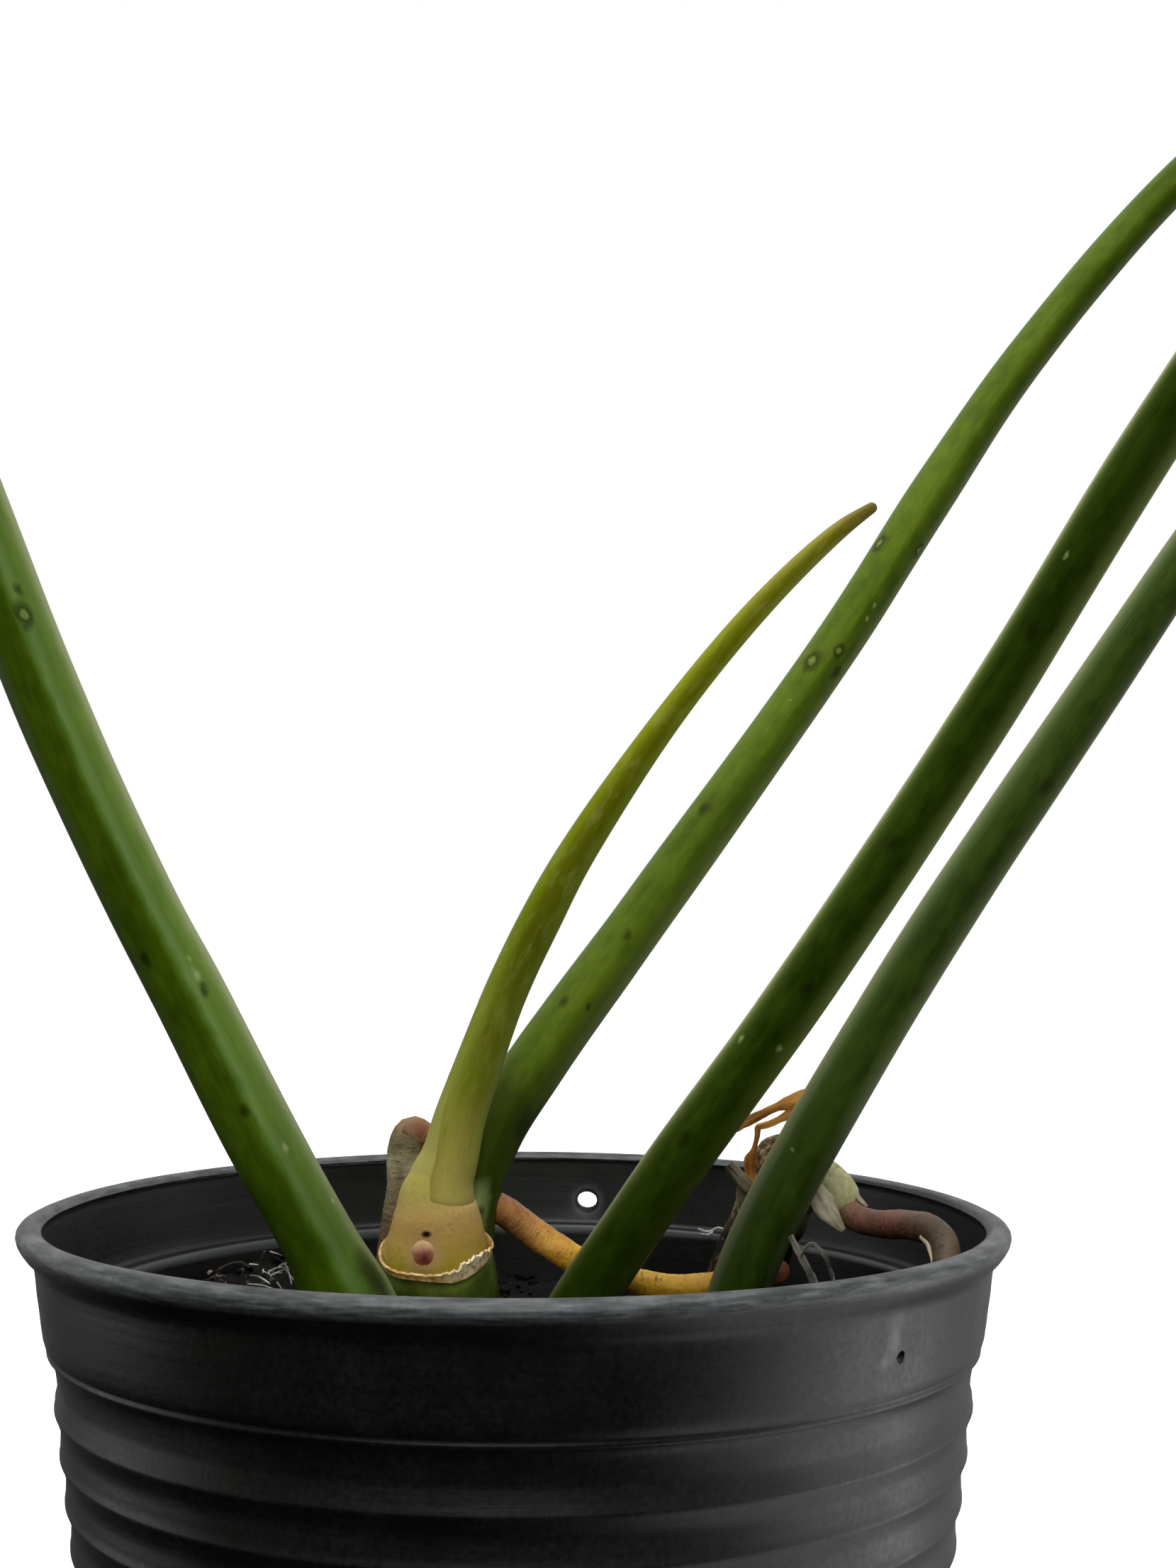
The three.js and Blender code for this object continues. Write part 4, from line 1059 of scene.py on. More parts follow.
# %% Model the bud
def bud_mesh():
    """A sphere squashed, leant and slit into a closed bud."""
    bm = bmesh.new()
    bmesh.ops.create_uvsphere(bm, u_segments=56, v_segments=36, radius=1.0)
    for vertex in bm.verts:
        x, y, z = vertex.co
        slit = 0.12 * math.exp(-((x / 0.1) ** 2) - (((z + 0.15) / 0.35) ** 2)) * (y < 0)
        swell = 1 + 0.03 * rough((x, y, z), 0.8)
        wide = 1.45 + 0.15 * z
        leaning = 0.3 * min(z, 0.0)
        vertex.co = BUD_CENTRE + Vector(
            (wide * x * swell, 1.24 * y * swell + slit + leaning, 1.75 * z * swell - 0.1))
    return bm


def bud_skin():
    """Young bud scales: pale at the top, red brown round the slit, the node's amber at the rim."""
    material, tree = new_material("bud_scale_rose", Roughness=0.45, IOR=1.42)
    place = millimetres(tree)
    fine = add(tree, "TexNoise", {"Vector": place, "Scale": 1.3, "Detail": 4})
    heart = tuple(BUD_CENTRE - Vector((0, 0, 0.45)))
    offset = add(tree, "VectorMath", {0: place, 1: heart}, operation="SUBTRACT")
    flat = add(tree, "VectorMath", {0: offset, 1: (1.05, 0.0, 0.95)}, operation="MULTIPLY")
    reach = add(tree, "VectorMath", {0: flat}, out="Value", operation="LENGTH")
    reach = add(tree, "Math", {0: fine, 1: 0.9, 2: reach}, operation="MULTIPLY_ADD")
    share = add(tree, "MapRange", {0: reach, 1: 0.45, 2: 2.2})
    stops = [(0.0, "#300a06"), (0.14, "#5c2218"), (0.32, "#7c3c2c"), (0.54, "#94583e"),
             (0.76, "#b08460"), (1.0, "#bc9a6c")]
    colour = add(tree, "ValToRGB", {"Fac": share}, stops=stops)
    return cover(material, colour, fine, 0.12, 0.6)


finish_piece("rose_bud", bud_mesh(), bud_skin(), ["bud"])

# %% [markdown]
# ## The new shoot
# The next leaf comes up rolled in a pointed sheath. The roll has one free edge, which starts at the
# front of the node and winds to the left as it rises, so the section steps up to the right of
# that edge and the step fades out above. Its foot is tucked in to a fine ring line where it
# leaves the node. The front is olive over a dark keel, paler at both sides and browner at the tip.
# Along the free edge a pale strip and a dark line are drawn, with painted shade fading out to the
# right of the line.

# %% Roll the new shoot
SHOOT = [
    (-9.1, 0.17, 96.85, 4.24), (-8.6, 0.05, 98.8, 3.72), (-7.8, 0.0, 101.0, 3.3), (-6.75, 0, 105.1, 2.98),
    (-5.4, 0, 109.0, 2.78), (-1.5, 0, 119.5, 2.45), (2.3, 0, 127.5, 2.4), (6.7, 0.5, 135.6, 2.15),
    (17.9, 1, 152, 1.6), (28.4, 2, 164.7, 1.4), (37.2, 2.5, 173.2, 1.05), (41.7, 2.6, 176.4, 0.6),
]
FREE_EDGE_START = math.radians(-9)
FREE_EDGE_TURN = math.radians(-3.2)
FREE_EDGE_LENGTH = 13.0
KEEL_ANGLE = math.radians(20)
SHOOT_LENGTH = 94.0
SHOOT_SIDES = [(0.0, "#b2a258"), (0.03, "#aea256"), (0.075, "#989a44"), (0.14, "#848c30"),
               (0.34, "#6c7c04"), (0.75, "#88900c"), (0.95, "#948c3a"), (1.0, "#7a6a30")]
SHOOT_KEEL = [(0.0, "#b2a258"), (0.03, "#ae9e50"), (0.075, "#98923e"), (0.14, "#6c7418"),
              (0.34, "#545a00"), (0.75, "#666c00"), (0.95, "#6c6c08"), (1.0, "#6a5a22")]
# The fold: a pale strip, a dark line on the free edge, and painted shade fading out to its right.
SHOOT_FOLD_LINE_AND_SHADE = [(0.0, "#a8a060", 0.0), (0.4, "#a8a060", 0.6), (0.47, "#a8a060", 0.6),
              (0.5, "#4c4208", 0.5), (0.56, "#5c5a10", 0.35), (0.72, "#6c6c14", 0.0)]


def shoot_mesh():
    """The rolled spear: its section steps in under the free edge, and a soft keel runs up it."""
    places = bend(SHOOT, 0.3)

    def rolled(angle, along, radius):
        edge = FREE_EDGE_START + FREE_EDGE_TURN * along
        fade = max(0.0, 1 - along / FREE_EDGE_LENGTH)
        from_edge = math.remainder(angle - edge, math.tau)
        step = 1 / (1 + math.exp(max(min(from_edge / 0.035, 40), -40)))
        under = step * math.exp(-((min(from_edge, 0) / 1.2) ** 2)) if from_edge < 0.3 else 0.0
        tucked = 0.02 * math.exp(-((along / 0.25) ** 2))
        keel = 0.03 * math.exp(-(((angle - KEEL_ANGLE) / 0.3) ** 2)) * min(1.0, along / 10)
        uneven = 0.012 * rough((angle, along, 3), 9)
        return radius * (1 - 0.11 * under * fade - tucked + keel + uneven)

    return rod(places, 120, rolled)


def shoot_skin():
    """A rolled young leaf: soft yellow-green, olive on its keel, cream at its foot."""
    material, tree = new_material("young_leaf_rolled", IOR=1.42, Specular_IOR_Level=0.2,
                                  Specular_Tint=WAX_TINT)
    straight = along_rod(tree)
    layers = (((0.4, 0.4, 0.07), 3), ((1.1, 1.1, 0.4), 5), ((3.4, 3.4, 0.25), 3))
    patches, dapples, fibres = [streaked_noise(tree, straight, *layer) for layer in layers]
    forward, sideways, distance = add(tree, "SeparateXYZ", {0: straight}, out=None).outputs
    angle = add(tree, "Math", {0: sideways, 1: forward}, operation="ARCTAN2")
    wander = add(tree, "Math", {0: patches, 1: 0.8, 2: angle}, operation="MULTIPLY_ADD")
    across = add(tree, "Math", {0: wander, 1: 0.5}, operation="SUBTRACT")
    from_keel = add(tree, "Math", {0: across}, operation="ABSOLUTE")
    up = add(tree, "MapRange", {0: distance, 1: 0.0, 2: SHOOT_LENGTH})
    sides = add(tree, "ValToRGB", {"Fac": up}, stops=SHOOT_SIDES)
    ridge = add(tree, "ValToRGB", {"Fac": up}, stops=SHOOT_KEEL)
    keel = add(tree, "MapRange", {0: from_keel, 1: 0.15, 2: 1.05, 3: 1.0, 4: 0.0},
               interpolation_type="SMOOTHSTEP")
    colour = add(tree, "Mix", {0: keel, 6: sides, 7: ridge}, out=2, data_type="RGBA")
    colour = stain(tree, colour, "#9a9e4c", (dapples, 0.48, 0.7, 0.0, 0.3))
    colour = stain(tree, colour, "#4b4a10", (fibres, 0.58, 0.74, 0.0, 0.35))
    # Painted shade beside the free edge, with its pale strip and dark line.
    turned = add(tree, "Math", {0: distance, 1: -FREE_EDGE_TURN, 2: angle}, operation="MULTIPLY_ADD")
    from_edge = add(tree, "Math", {0: turned, 1: FREE_EDGE_START}, operation="SUBTRACT")
    share = add(tree, "MapRange", {0: from_edge, 1: -1.0, 2: 1.0})
    fade = fades(tree, (distance, 3.0, FREE_EDGE_LENGTH, 0.9, 0.0))
    colour = lay_ramp(tree, colour, share, SHOOT_FOLD_LINE_AND_SHADE, fade)
    roughness = add(tree, "MapRange", {0: dapples, 1: 0.3, 2: 0.7, 3: 0.46, 4: 0.56})
    relief = add(tree, "Math", {0: dapples, 1: 0.6, 2: fibres}, operation="MULTIPLY_ADD")
    return cover(material, colour, relief, 0.08, 0.6, Roughness=roughness)


finish_piece("rolled_new_leaf", shoot_mesh(), shoot_skin(), ["new_shoot"], crease=60)

# %% [markdown]
# ## Aerial roots
# These roots grow from the nodes into the soil. They are corky rods, so their surface is uneven at
# the size of a millimetre: knuckles, wrinkles across the bends and small lenticels. Each has its
# own age: the loop is grey and cracked, with a paler band that is grey cork and a painted
# highlight; the long one is still yellow with starch, its yellow painted brighter as light in the
# shade where it lies; and the right one is reddish brown.


# %% Grow the aerial roots
def corky_skin(name, ages, cracks="#33220f", roughness=0.6):
    """Root skin. Ages are places along the straight rod, each with a dark and a light tone."""
    material, tree = new_material(name, Roughness=roughness, IOR=1.42)
    straight = along_rod(tree)
    layers = (((0.35, 0.35, 0.22), 5), ((0.5, 0.5, 2.2), 3), ((2.4, 2.4, 1.8), 3))
    patches, wrinkles, cells = [streaked_noise(tree, straight, *layer) for layer in layers]
    distance = add(tree, "SeparateXYZ", {0: straight}, out="Z")
    reach = add(tree, "Math", {0: patches, 1: 7.0, 2: distance}, operation="MULTIPLY_ADD")
    whole = ages[-1][0]
    share = add(tree, "MapRange", {0: reach, 1: 3.5, 2: whole + 3.5})
    dark_ages = [(place / whole, dark) for place, dark, _ in ages]
    light_ages = [(place / whole, light) for place, _, light in ages]
    dark = add(tree, "ValToRGB", {"Fac": share}, stops=dark_ages)
    light = add(tree, "ValToRGB", {"Fac": share}, stops=light_ages)
    colour = stain(tree, dark, light, (patches, 0.36, 0.62, 0.0, 1.0))
    colour = stain(tree, colour, cracks, (wrinkles, 0.55, 0.7, 0.0, 1.0), (cells, 0.46, 0.6, 0.0, 1.0))
    relief = add(tree, "Math", {0: cells, 1: 0.6, 2: wrinkles}, operation="MULTIPLY_ADD")
    return cover(material, colour, relief, 0.22, 0.7)


ROOTS = {
    "loop": {
        "slot": "grey_root", "sides": 48,
        "skin": corky_skin("root_skin_grey_cork_and_highlight", [
            (0.0, "#5a3a20", "#8a5a34"), (18.0, "#8a5430", "#b07848"), (21.6, "#7a4e30", "#a07450"),
            # The paler stop at 27 mm is grey cork with a painted highlight.
            (23.4, "#5c5434", "#827a54"), (27.0, "#706a4a", "#9c9470"), (30.0, "#5a4c30", "#857454"),
            (36.0, "#48301a", "#6e4a28"), (46.0, "#50381c", "#7a5c2c")]),
        "route": [
            (-9.5, 6, 87, 1.7), (-9.4, 12.5, 89.6, 1.9), (-9.3, 16, 95.4, 2.0), (-11.8, 16, 101.0, 2.0),
            (-13.4, 15.7, 102.2, 2.1), (-14.1, 15.3, 101.0, 2.15), (-14.3, 15, 99.0, 2.1),
            (-14.4, 14.4, 95, 2.1), (-15.6, 13.6, 88, 1.9), (-16.6, 12.6, 80, 1.8), (-17, 12, 74, 1.6)],
    },
    "yellow": {
        "slot": "yellow_root", "sides": 44,
        # Painted light: the yellow tones are brighter than the root's own, to light it where it lies in
        # shade.
        "skin": corky_skin("root_skin_yellow_starch_and_painted_light", [
            (0.0, "#8a5630", "#b87a4c"), (9.0, "#b0703c", "#d89a5c"), (15.0, "#c08420", "#eab434"),
            (30.0, "#c8961c", "#f0c038"), (35.0, "#a06428", "#c88c40"), (38.0, "#6a3a20", "#94583a"),
            (46.0, "#5a3420", "#8a5030")],
            cracks="#7a4a14", roughness=0.45),
        "route": [
            (-6, 6, 95.6, 1.7), (-2.6, 9, 94.1, 1.8), (1.2, 11, 91.1, 1.8), (5.4, 11.4, 88.3, 1.75),
            (9.5, 11.2, 86.3, 1.6), (14, 10.6, 85.3, 1.5), (19, 9.8, 85, 1.45),
            (26, 9.5, 85.8, 1.4), (31.4, 9.4, 87.1, 1.45)],
    },
    "right": {
        "slot": "brown_root", "sides": 44,
        "skin": corky_skin("root_skin_red_brown", [
            (0.0, "#7a6040", "#a08458"), (4.0, "#6a4636", "#946654"), (13.0, "#5c3c2e", "#86584a"),
            (18.0, "#443424", "#685640"), (40.0, "#3a2c1c", "#5a4a34")], roughness=0.5),
        "route": [
            (38, 12.8, 93.6, 1.6), (39.8, 10.4, 92.7, 1.6), (41.6, 7, 92.6, 1.6), (44, 2, 93.2, 1.65),
            (45.9, -2.6, 93.3, 1.7), (46.8, -5.4, 91.9, 1.7), (46.5, -7.4, 89.2, 1.65),
            (44.8, -9, 85, 1.55), (43.2, -10, 80, 1.5), (42, -10, 75, 1.3)],
    },
}


def root_mesh(route, sides, seed):
    """A corky root, with knuckles and short wrinkles all round it."""
    def knobbly(angle, along, radius):
        x, y = math.sin(angle), math.cos(angle)
        knuckles = 0.08 * rough((x, y, along * 0.5), 1.6, seed)
        wrinkles = 0.035 * rough((x * 2, y * 2, along * 1.6), 1.0, seed + 4)
        return radius * (1 + knuckles + wrinkles)

    return rod(bend(route, 0.35), sides, knobbly)


for number, (name, root) in enumerate(ROOTS.items()):
    finish_piece(f"aerial_root_{name}", root_mesh(root["route"], root["sides"], number),
                 root["skin"], [f"root_{name}"])

# %% [markdown]
# ## The old stem
# The stump of an older stem leans behind the right petiole, with a swelling on its right side that
# carries the brown root. Two rods that meet would show a hard line between them, so they are
# made together, remeshed by voxels into one skin and smoothed, which is how grown tissue joins.
# Its skin changes over a few millimetres: cream green on the swelling, mottled bark at its left,
# and nearly black low down, which is painted shade where the stump stands in the dark, each laid
# over the one before.

# %% Model the old stem
OLD_STEM = [
    (22.5, 18, 70, 4.2), (25, 17.6, 80, 4.4), (28.6, 16.6, 89.5, 4.4), (31.2, 15.8, 95.6, 4.6),
    (32.6, 15.4, 99.2, 4.5), (33.2, 15.2, 101.6, 3.2),
]
SIDE_SWELLING = [
    (32.5, 15, 97.6, 3.2), (35.8, 13.8, 96.4, 3.1), (38.4, 12.8, 94.4, 2.4), (39.4, 12.4, 93.2, 1.7),
]


def old_stem_skin():
    """A bare stump: cream green on its swelling, brown seams where leaves were, bark at its left, painted
    near-black shade low down.
    """
    material, tree = new_material("old_stem_skin", Roughness=0.6, IOR=1.42, Specular_IOR_Level=0.12)
    place = millimetres(tree)
    seams = streaked_noise(tree, place, (0.22, 0.22, 0.9), 4)
    fine = add(tree, "TexNoise", {"Vector": place, "Scale": 1.3, "Detail": 4})
    across, _, height = add(tree, "SeparateXYZ", {0: place}, out=None).outputs
    living, bark, painted_low_shade = [add(tree, "ValToRGB", {"Fac": fine}, stops=stops) for stops in (
        [(0.3, "#b4b478"), (0.5, "#c6c494"), (0.75, "#dcd8b4")],
        [(0.34, "#2a1e12"), (0.5, "#5c4a30"), (0.7, "#ac9a72")],
        [(0.35, "#0a0604"), (0.56, "#1c130b"), (0.76, "#6e5836")])]
    colour = stain(tree, living, "#5a4426", (seams, 0.64, 0.69, 0.0, 0.8))
    colour = stain(tree, colour, bark, (across, 31.0, 33.5, 1.0, 0.0))
    # Painted shade: the stump turns near black from 94.5 mm down to 90 mm, where it stands in the dark.
    colour = stain(tree, colour, painted_low_shade, (height, 90.0, 94.5, 1.0, 0.0))
    return cover(material, colour, fine, 0.1, 0.5)


def grown_together(name, bm, voxel_mm, smoothing):
    """Remeshes overlapping closed rods into one skin, by modifiers whose result is the mesh."""
    bmesh.ops.scale(bm, vec=(MM, MM, MM), verts=bm.verts)
    overlapping = in_scene(name, bm)
    remesh = overlapping.modifiers.new("one_skin", "REMESH")
    remesh.mode = "VOXEL"
    remesh.voxel_size = voxel_mm * MM
    smooth = overlapping.modifiers.new("even", "SMOOTH")
    smooth.iterations = smoothing
    joined = bmesh.new()
    joined.from_mesh(after_modifiers(overlapping))
    bmesh.ops.scale(joined, vec=(1 / MM, 1 / MM, 1 / MM), verts=joined.verts)
    bpy.data.objects.remove(overlapping)
    return joined


def wrinkled_rod(route, sides, amount, seed, into=None):
    """A rod for old tissue, uneven by a share of its radius."""
    def wrinkled(angle, along, radius):
        x, y = math.sin(angle), math.cos(angle)
        return radius * (1 + amount * rough((x * 3, y * 3, along), 1.8, seed))

    return rod(bend(route, 0.5), sides, wrinkled, into=into)


stump = wrinkled_rod(OLD_STEM, 40, 0.07, 2)
wrinkled_rod(SIDE_SWELLING, 32, 0.06, 5, into=stump)
stump = grown_together("stump", stump, voxel_mm=0.4, smoothing=6)
finish_piece("old_stem_stump", stump, old_stem_skin(), ["old_stem"])

# %% [markdown]
# ## Dry sheaths and fibres
# What is left of the old leaves is thin, curled and torn: an orange ribbon that forks, grey fibrous
# strips, two papery scales, a loose flap of skin on the brown root, and a bent fibre of two strands
# that stands in the soil. Each strip is a flat rod with a ragged edge. Its flat face is held
# towards the front, and noise varies its width, so no two edges are alike. One table lists the
# strips of each piece.


# %% Dry plant strips
def ragged_strip(route, flatness, facing, seed, tear=0.25, into=None):
    """A flat rod whose two edges are torn by a share of its width."""
    def ragged(angle, along, radius):
        side = math.copysign(1, math.sin(angle))
        torn = tear * rough((side, 0, along), 0.8, seed) * abs(math.sin(angle))
        return radius * (1 + torn + 0.1 * rough((0, 3, along), 2.5, seed))

    return rod(bend(route, 0.22, facing, held=True), 24, ragged, flatness, into=into)


def dry_sheath(name, dark, light, lines_mm):
    """A dried leaf sheath: matte, with its fibres along it, a few to the millimetre."""
    material, tree = new_material(name, Roughness=0.65, IOR=1.45)
    straight = along_rod(tree)
    lines = streaked_noise(tree, straight, (0.5, 1 / lines_mm, 0.25), 4)
    patches = add(tree, "TexNoise", {"Vector": straight, "Scale": 0.32, "Detail": 4})
    tone = add(tree, "Math", {0: lines, 1: patches}, operation="ADD")
    share = add(tree, "MapRange", {0: tone, 1: 0.78, 2: 1.24})
    colour = add(tree, "ValToRGB", {"Fac": share}, stops=[(0.0, dark), (1.0, light)])
    return cover(material, colour, tone, 0.2)


FRONT = (0.1, -1, 0.15)
LEFT_FRONT = (-0.5, -1, 0)
PAPERY_SKIN = dry_sheath("sheath_papery_pale", "#8f8464", "#ded3b8", 0.6)
DRY_PIECES = {
    "orange_dry_ribbon": dict(
        skin=dry_sheath("sheath_orange_dry", "#8c5020", "#e8a648", 0.5),
        slot="dried_sheath", nodes=["orange_sheath"], strips=[
            dict(flatness=0.3, facing=FRONT, seed=1, route=[
                (27.2, 12, 93.8, 0.3), (27.1, 11.9, 97.6, 0.6), (27.1, 11.4, 99.4, 0.8),
                (27.5, 11, 100.7, 0.38), (27.8, 10.5, 102.2, 0.34), (28.0, 10.3, 103.7, 0.42)]),
            dict(flatness=0.25, facing=FRONT, seed=2, tear=0.12, route=[
                (23.4, 11.2, 102.2, 0.4), (25.6, 10.9, 103.4, 0.55), (27.5, 10.6, 104.4, 0.58),
                (30.1, 10.4, 105.7, 0.5), (32.2, 10.6, 106.3, 1.0), (35.4, 11, 107.3, 1.15)]),
            dict(flatness=0.25, facing=FRONT, seed=3, tear=0.12, route=[
                (27.8, 10.2, 103.4, 0.4), (29.1, 10.3, 103.7, 0.4), (30.5, 10.3, 104.3, 0.45),
                (32, 10.5, 105.1, 0.7), (34.4, 11, 106.3, 0.8)]),
        ]),
    "grey_fibrous_strips": dict(
        skin=dry_sheath("sheath_grey_fibrous", "#3a3126", "#a0947c", 0.35),
        slot="grey_sheath", nodes=["grey_sheath"], strips=[
            dict(flatness=0.35, facing=LEFT_FRONT, seed=4, route=[
                (25.4, 13, 88, 0.3), (26.1, 12, 92.2, 0.4), (26.2, 11.2, 94.0, 0.75),
                (26.1, 10.7, 95.6, 0.8), (26.0, 10.1, 96.8, 0.6)]),
            dict(flatness=0.35, facing=LEFT_FRONT, seed=5, route=[
                (24.4, 9.8, 99.1, 0.75), (25.4, 9.6, 98.0, 0.9), (26.6, 9.5, 96.6, 0.85),
                (27.8, 9.6, 95.2, 0.5)]),
        ]),
    "papery_scales": dict(
        skin=PAPERY_SKIN, slot="papery_sheath", nodes=["papery_sheath"], strips=[
            dict(flatness=0.2, facing=(0.4, -1, 0.1), seed=6, tear=0.1, route=[
                (34.4, 9.3, 96.4, 1.0), (35.4, 9.2, 94.6, 1.55), (36.6, 9.2, 93.0, 1.0),
                (37.9, 9.2, 91.4, 0.3)]),
            dict(flatness=0.3, facing=(0.5, -0.9, 0.2), seed=7, route=[
                (38.0, 11.4, 97.2, 0.35), (39.1, 11.6, 96.1, 0.4), (40.0, 11.4, 94.9, 0.35),
                (40.9, 11.2, 94.0, 0.2)]),
        ]),
    "peeling_root_skin": dict(
        skin=PAPERY_SKIN, slot="brown_root", nodes=[], strips=[
            dict(flatness=0.35, facing=LEFT_FRONT, seed=9, tear=0.3, route=[
                (44.3, -4.2, 92.9, 0.16), (44.9, -5.6, 92.2, 0.24), (45.2, -7.2, 90.4, 0.28),
                (45.0, -8.6, 87.4, 0.2)]),
        ]),
    "bent_dry_fibre": dict(
        skin=dry_sheath("fibre_weathered", "#211d18", "#8a8578", 0.25),
        slot="grey_sheath", nodes=["dried_fibre"], strips=[
            dict(flatness=0.5, facing=(0, -1, 0), seed=8, tear=0.4, route=[
                (30.3, -2.2, 92.7, 0.3), (31.3, -2.5, 90.6, 0.45), (32.8, -2.9, 87.8, 0.45),
                (34.0, -3.1, 84, 0.4), (34.4, -3.3, 77, 0.4)]),
            dict(flatness=0.5, facing=(0, -1, 0), seed=10, tear=0.5, route=[
                (31.3, -3.0, 90.6, 0.2), (31.9, -3.2, 91.6, 0.24), (32.7, -3.6, 92.0, 0.24),
                (33.7, -3.9, 90.9, 0.26), (34.4, -4.1, 89.3, 0.24), (35.1, -4.3, 87.2, 0.24),
                (36, -4.6, 82, 0.28), (36.4, -4.8, 77, 0.3)]),
        ]),
}
for name, piece in DRY_PIECES.items():
    strips = bmesh.new()
    for strip in piece["strips"]:
        ragged_strip(into=strips, **strip)
    finish_piece(name, strips, piece["skin"], piece["nodes"])

# %% [markdown]
# ## Leaves
# The leaves hang outside the photograph, so they follow the species: three long lobes, a
# concave corner between them, thin glossy leather with pale veins. Each half lobe is a grid. Its
# first column lies on the midrib and its last on the wavy edge, and its rows run along the side
# veins, so veins and the quilting between them are plain functions of row and column. The six
# halves are merged, and the sheet is extruded into a thin body whose lower face carries the ribs.
# FULLEST is the highest value of the curve that gives a lobe its width.

# %% Shape a leaf blade
BLADE = {
    "corner": 17.0, "corner_at": 0.53, "sinus": 5.0, "margin_thickness": 0.6, "rib_height": 1.9,
    "rib_width": 1.5, "keel": 0.16, "crease": 1.1, "wave": 2.6, "wave_length": 41.0,
}
BLADES = {
    "left": dict(junction=(-80, -55, 232.4), heading=214, dip=70, roll=6, front=226, front_width=24,
                 back=118, back_width=15, spread=117, curl=0.0016, phase=0.4),
    "back": dict(junction=(154.6, 76.6, 284), heading=-30, dip=62, roll=6, front=226, front_width=23,
                 back=112, back_width=14, spread=120, curl=0.0018, phase=1.9),
    "middle": dict(junction=(114, -102.4, 236.8), heading=-54, dip=68, roll=4, front=218,
                   front_width=23, back=108, back_width=14, spread=116, curl=0.0017, phase=3.1),
    "right": dict(junction=(141.6, 25, 230.8), heading=-12, dip=72, roll=10, front=196,
                  front_width=21, back=98, back_width=13, spread=118, curl=0.0019, phase=4.6),
}
FRONT_VEINS = 11
BACK_VEINS = 6
ROWS_PER_VEIN = 10
COLUMNS = 16
FULLEST = 0.357


def half_width(part, at_corner, widest):
    """Half the width of a lobe where part runs from 0 at its corner to 1 at its tip."""
    part = min(max(part, 0.0), 1.0)
    body = part ** 0.55 * (1 - part) ** 1.05 / FULLEST
    return at_corner * (1 - part) ** 3 + widest * body


def lay_half_lobe(bm, blade, length, width, angle, side, corner_angle, corner_length, veins):
    """Adds one half lobe. side is 1 for the half to the left of the midrib, -1 to the right."""
    made = bmesh.ops.create_grid(bm, x_segments=COLUMNS, y_segments=veins * ROWS_PER_VEIN, size=0.5)
    layers = bm.verts.layers
    leaf, rib = layers.float_vector["leaf"], layers.float["rib"]
    along = Vector((math.cos(angle), math.sin(angle)))
    across = Vector((-math.sin(angle), math.cos(angle))) * side
    offset = abs(corner_angle - angle)
    start_along = corner_length * math.cos(offset)
    start_across = corner_length * math.sin(offset)
    for vertex in made["verts"]:
        v, u = vertex.co.x + 0.5, vertex.co.y + 0.5
        settled = smooth_between(u, 0, 0.2)
        margin_along = start_along + (length - start_along) * u ** 0.8
        part = (margin_along - start_along) / (length - start_along)
        margin_across = half_width(part, start_across, width)
        reach = math.hypot(margin_along - length * u, margin_across)
        flat = along * (length * u + (margin_along - length * u) * v) + across * (v * margin_across)
        keel = BLADE["keel"] * v * (corner_length + (margin_across - corner_length) * settled)
        vein = math.cos(math.tau * veins * u)
        crease = -BLADE["crease"] * vein * math.sin(math.pi * v)
        phase = math.tau * margin_along / BLADE["wave_length"] + blade["phase"] + side
        wave = BLADE["wave"] * v ** 2 * math.sin(phase)
        height = keel + (crease + wave) * settled * (1 - u ** 6)
        distance = flat.length
        droop = blade["curl"] * distance
        outward = flat / distance if distance > 1e-9 else Vector((1, 0))
        reach_flat = math.sin(droop) / blade["curl"] + height * math.sin(droop)
        drop = (1 - math.cos(droop)) / blade["curl"] - height * math.cos(droop)
        vertex.co = (outward.x * reach_flat, outward.y * reach_flat, -drop)
        from_rib = v * reach
        main = BLADE["rib_height"] * (1 - 0.75 * u) * math.exp(-((from_rib / BLADE["rib_width"]) ** 2))
        side_vein = 0.35 * max(0.0, vein) ** 14 * (1 - v) ** 0.5 * settled
        vertex[rib] = main + side_vein
        vertex[leaf] = (from_rib, veins * u, v)
    return made


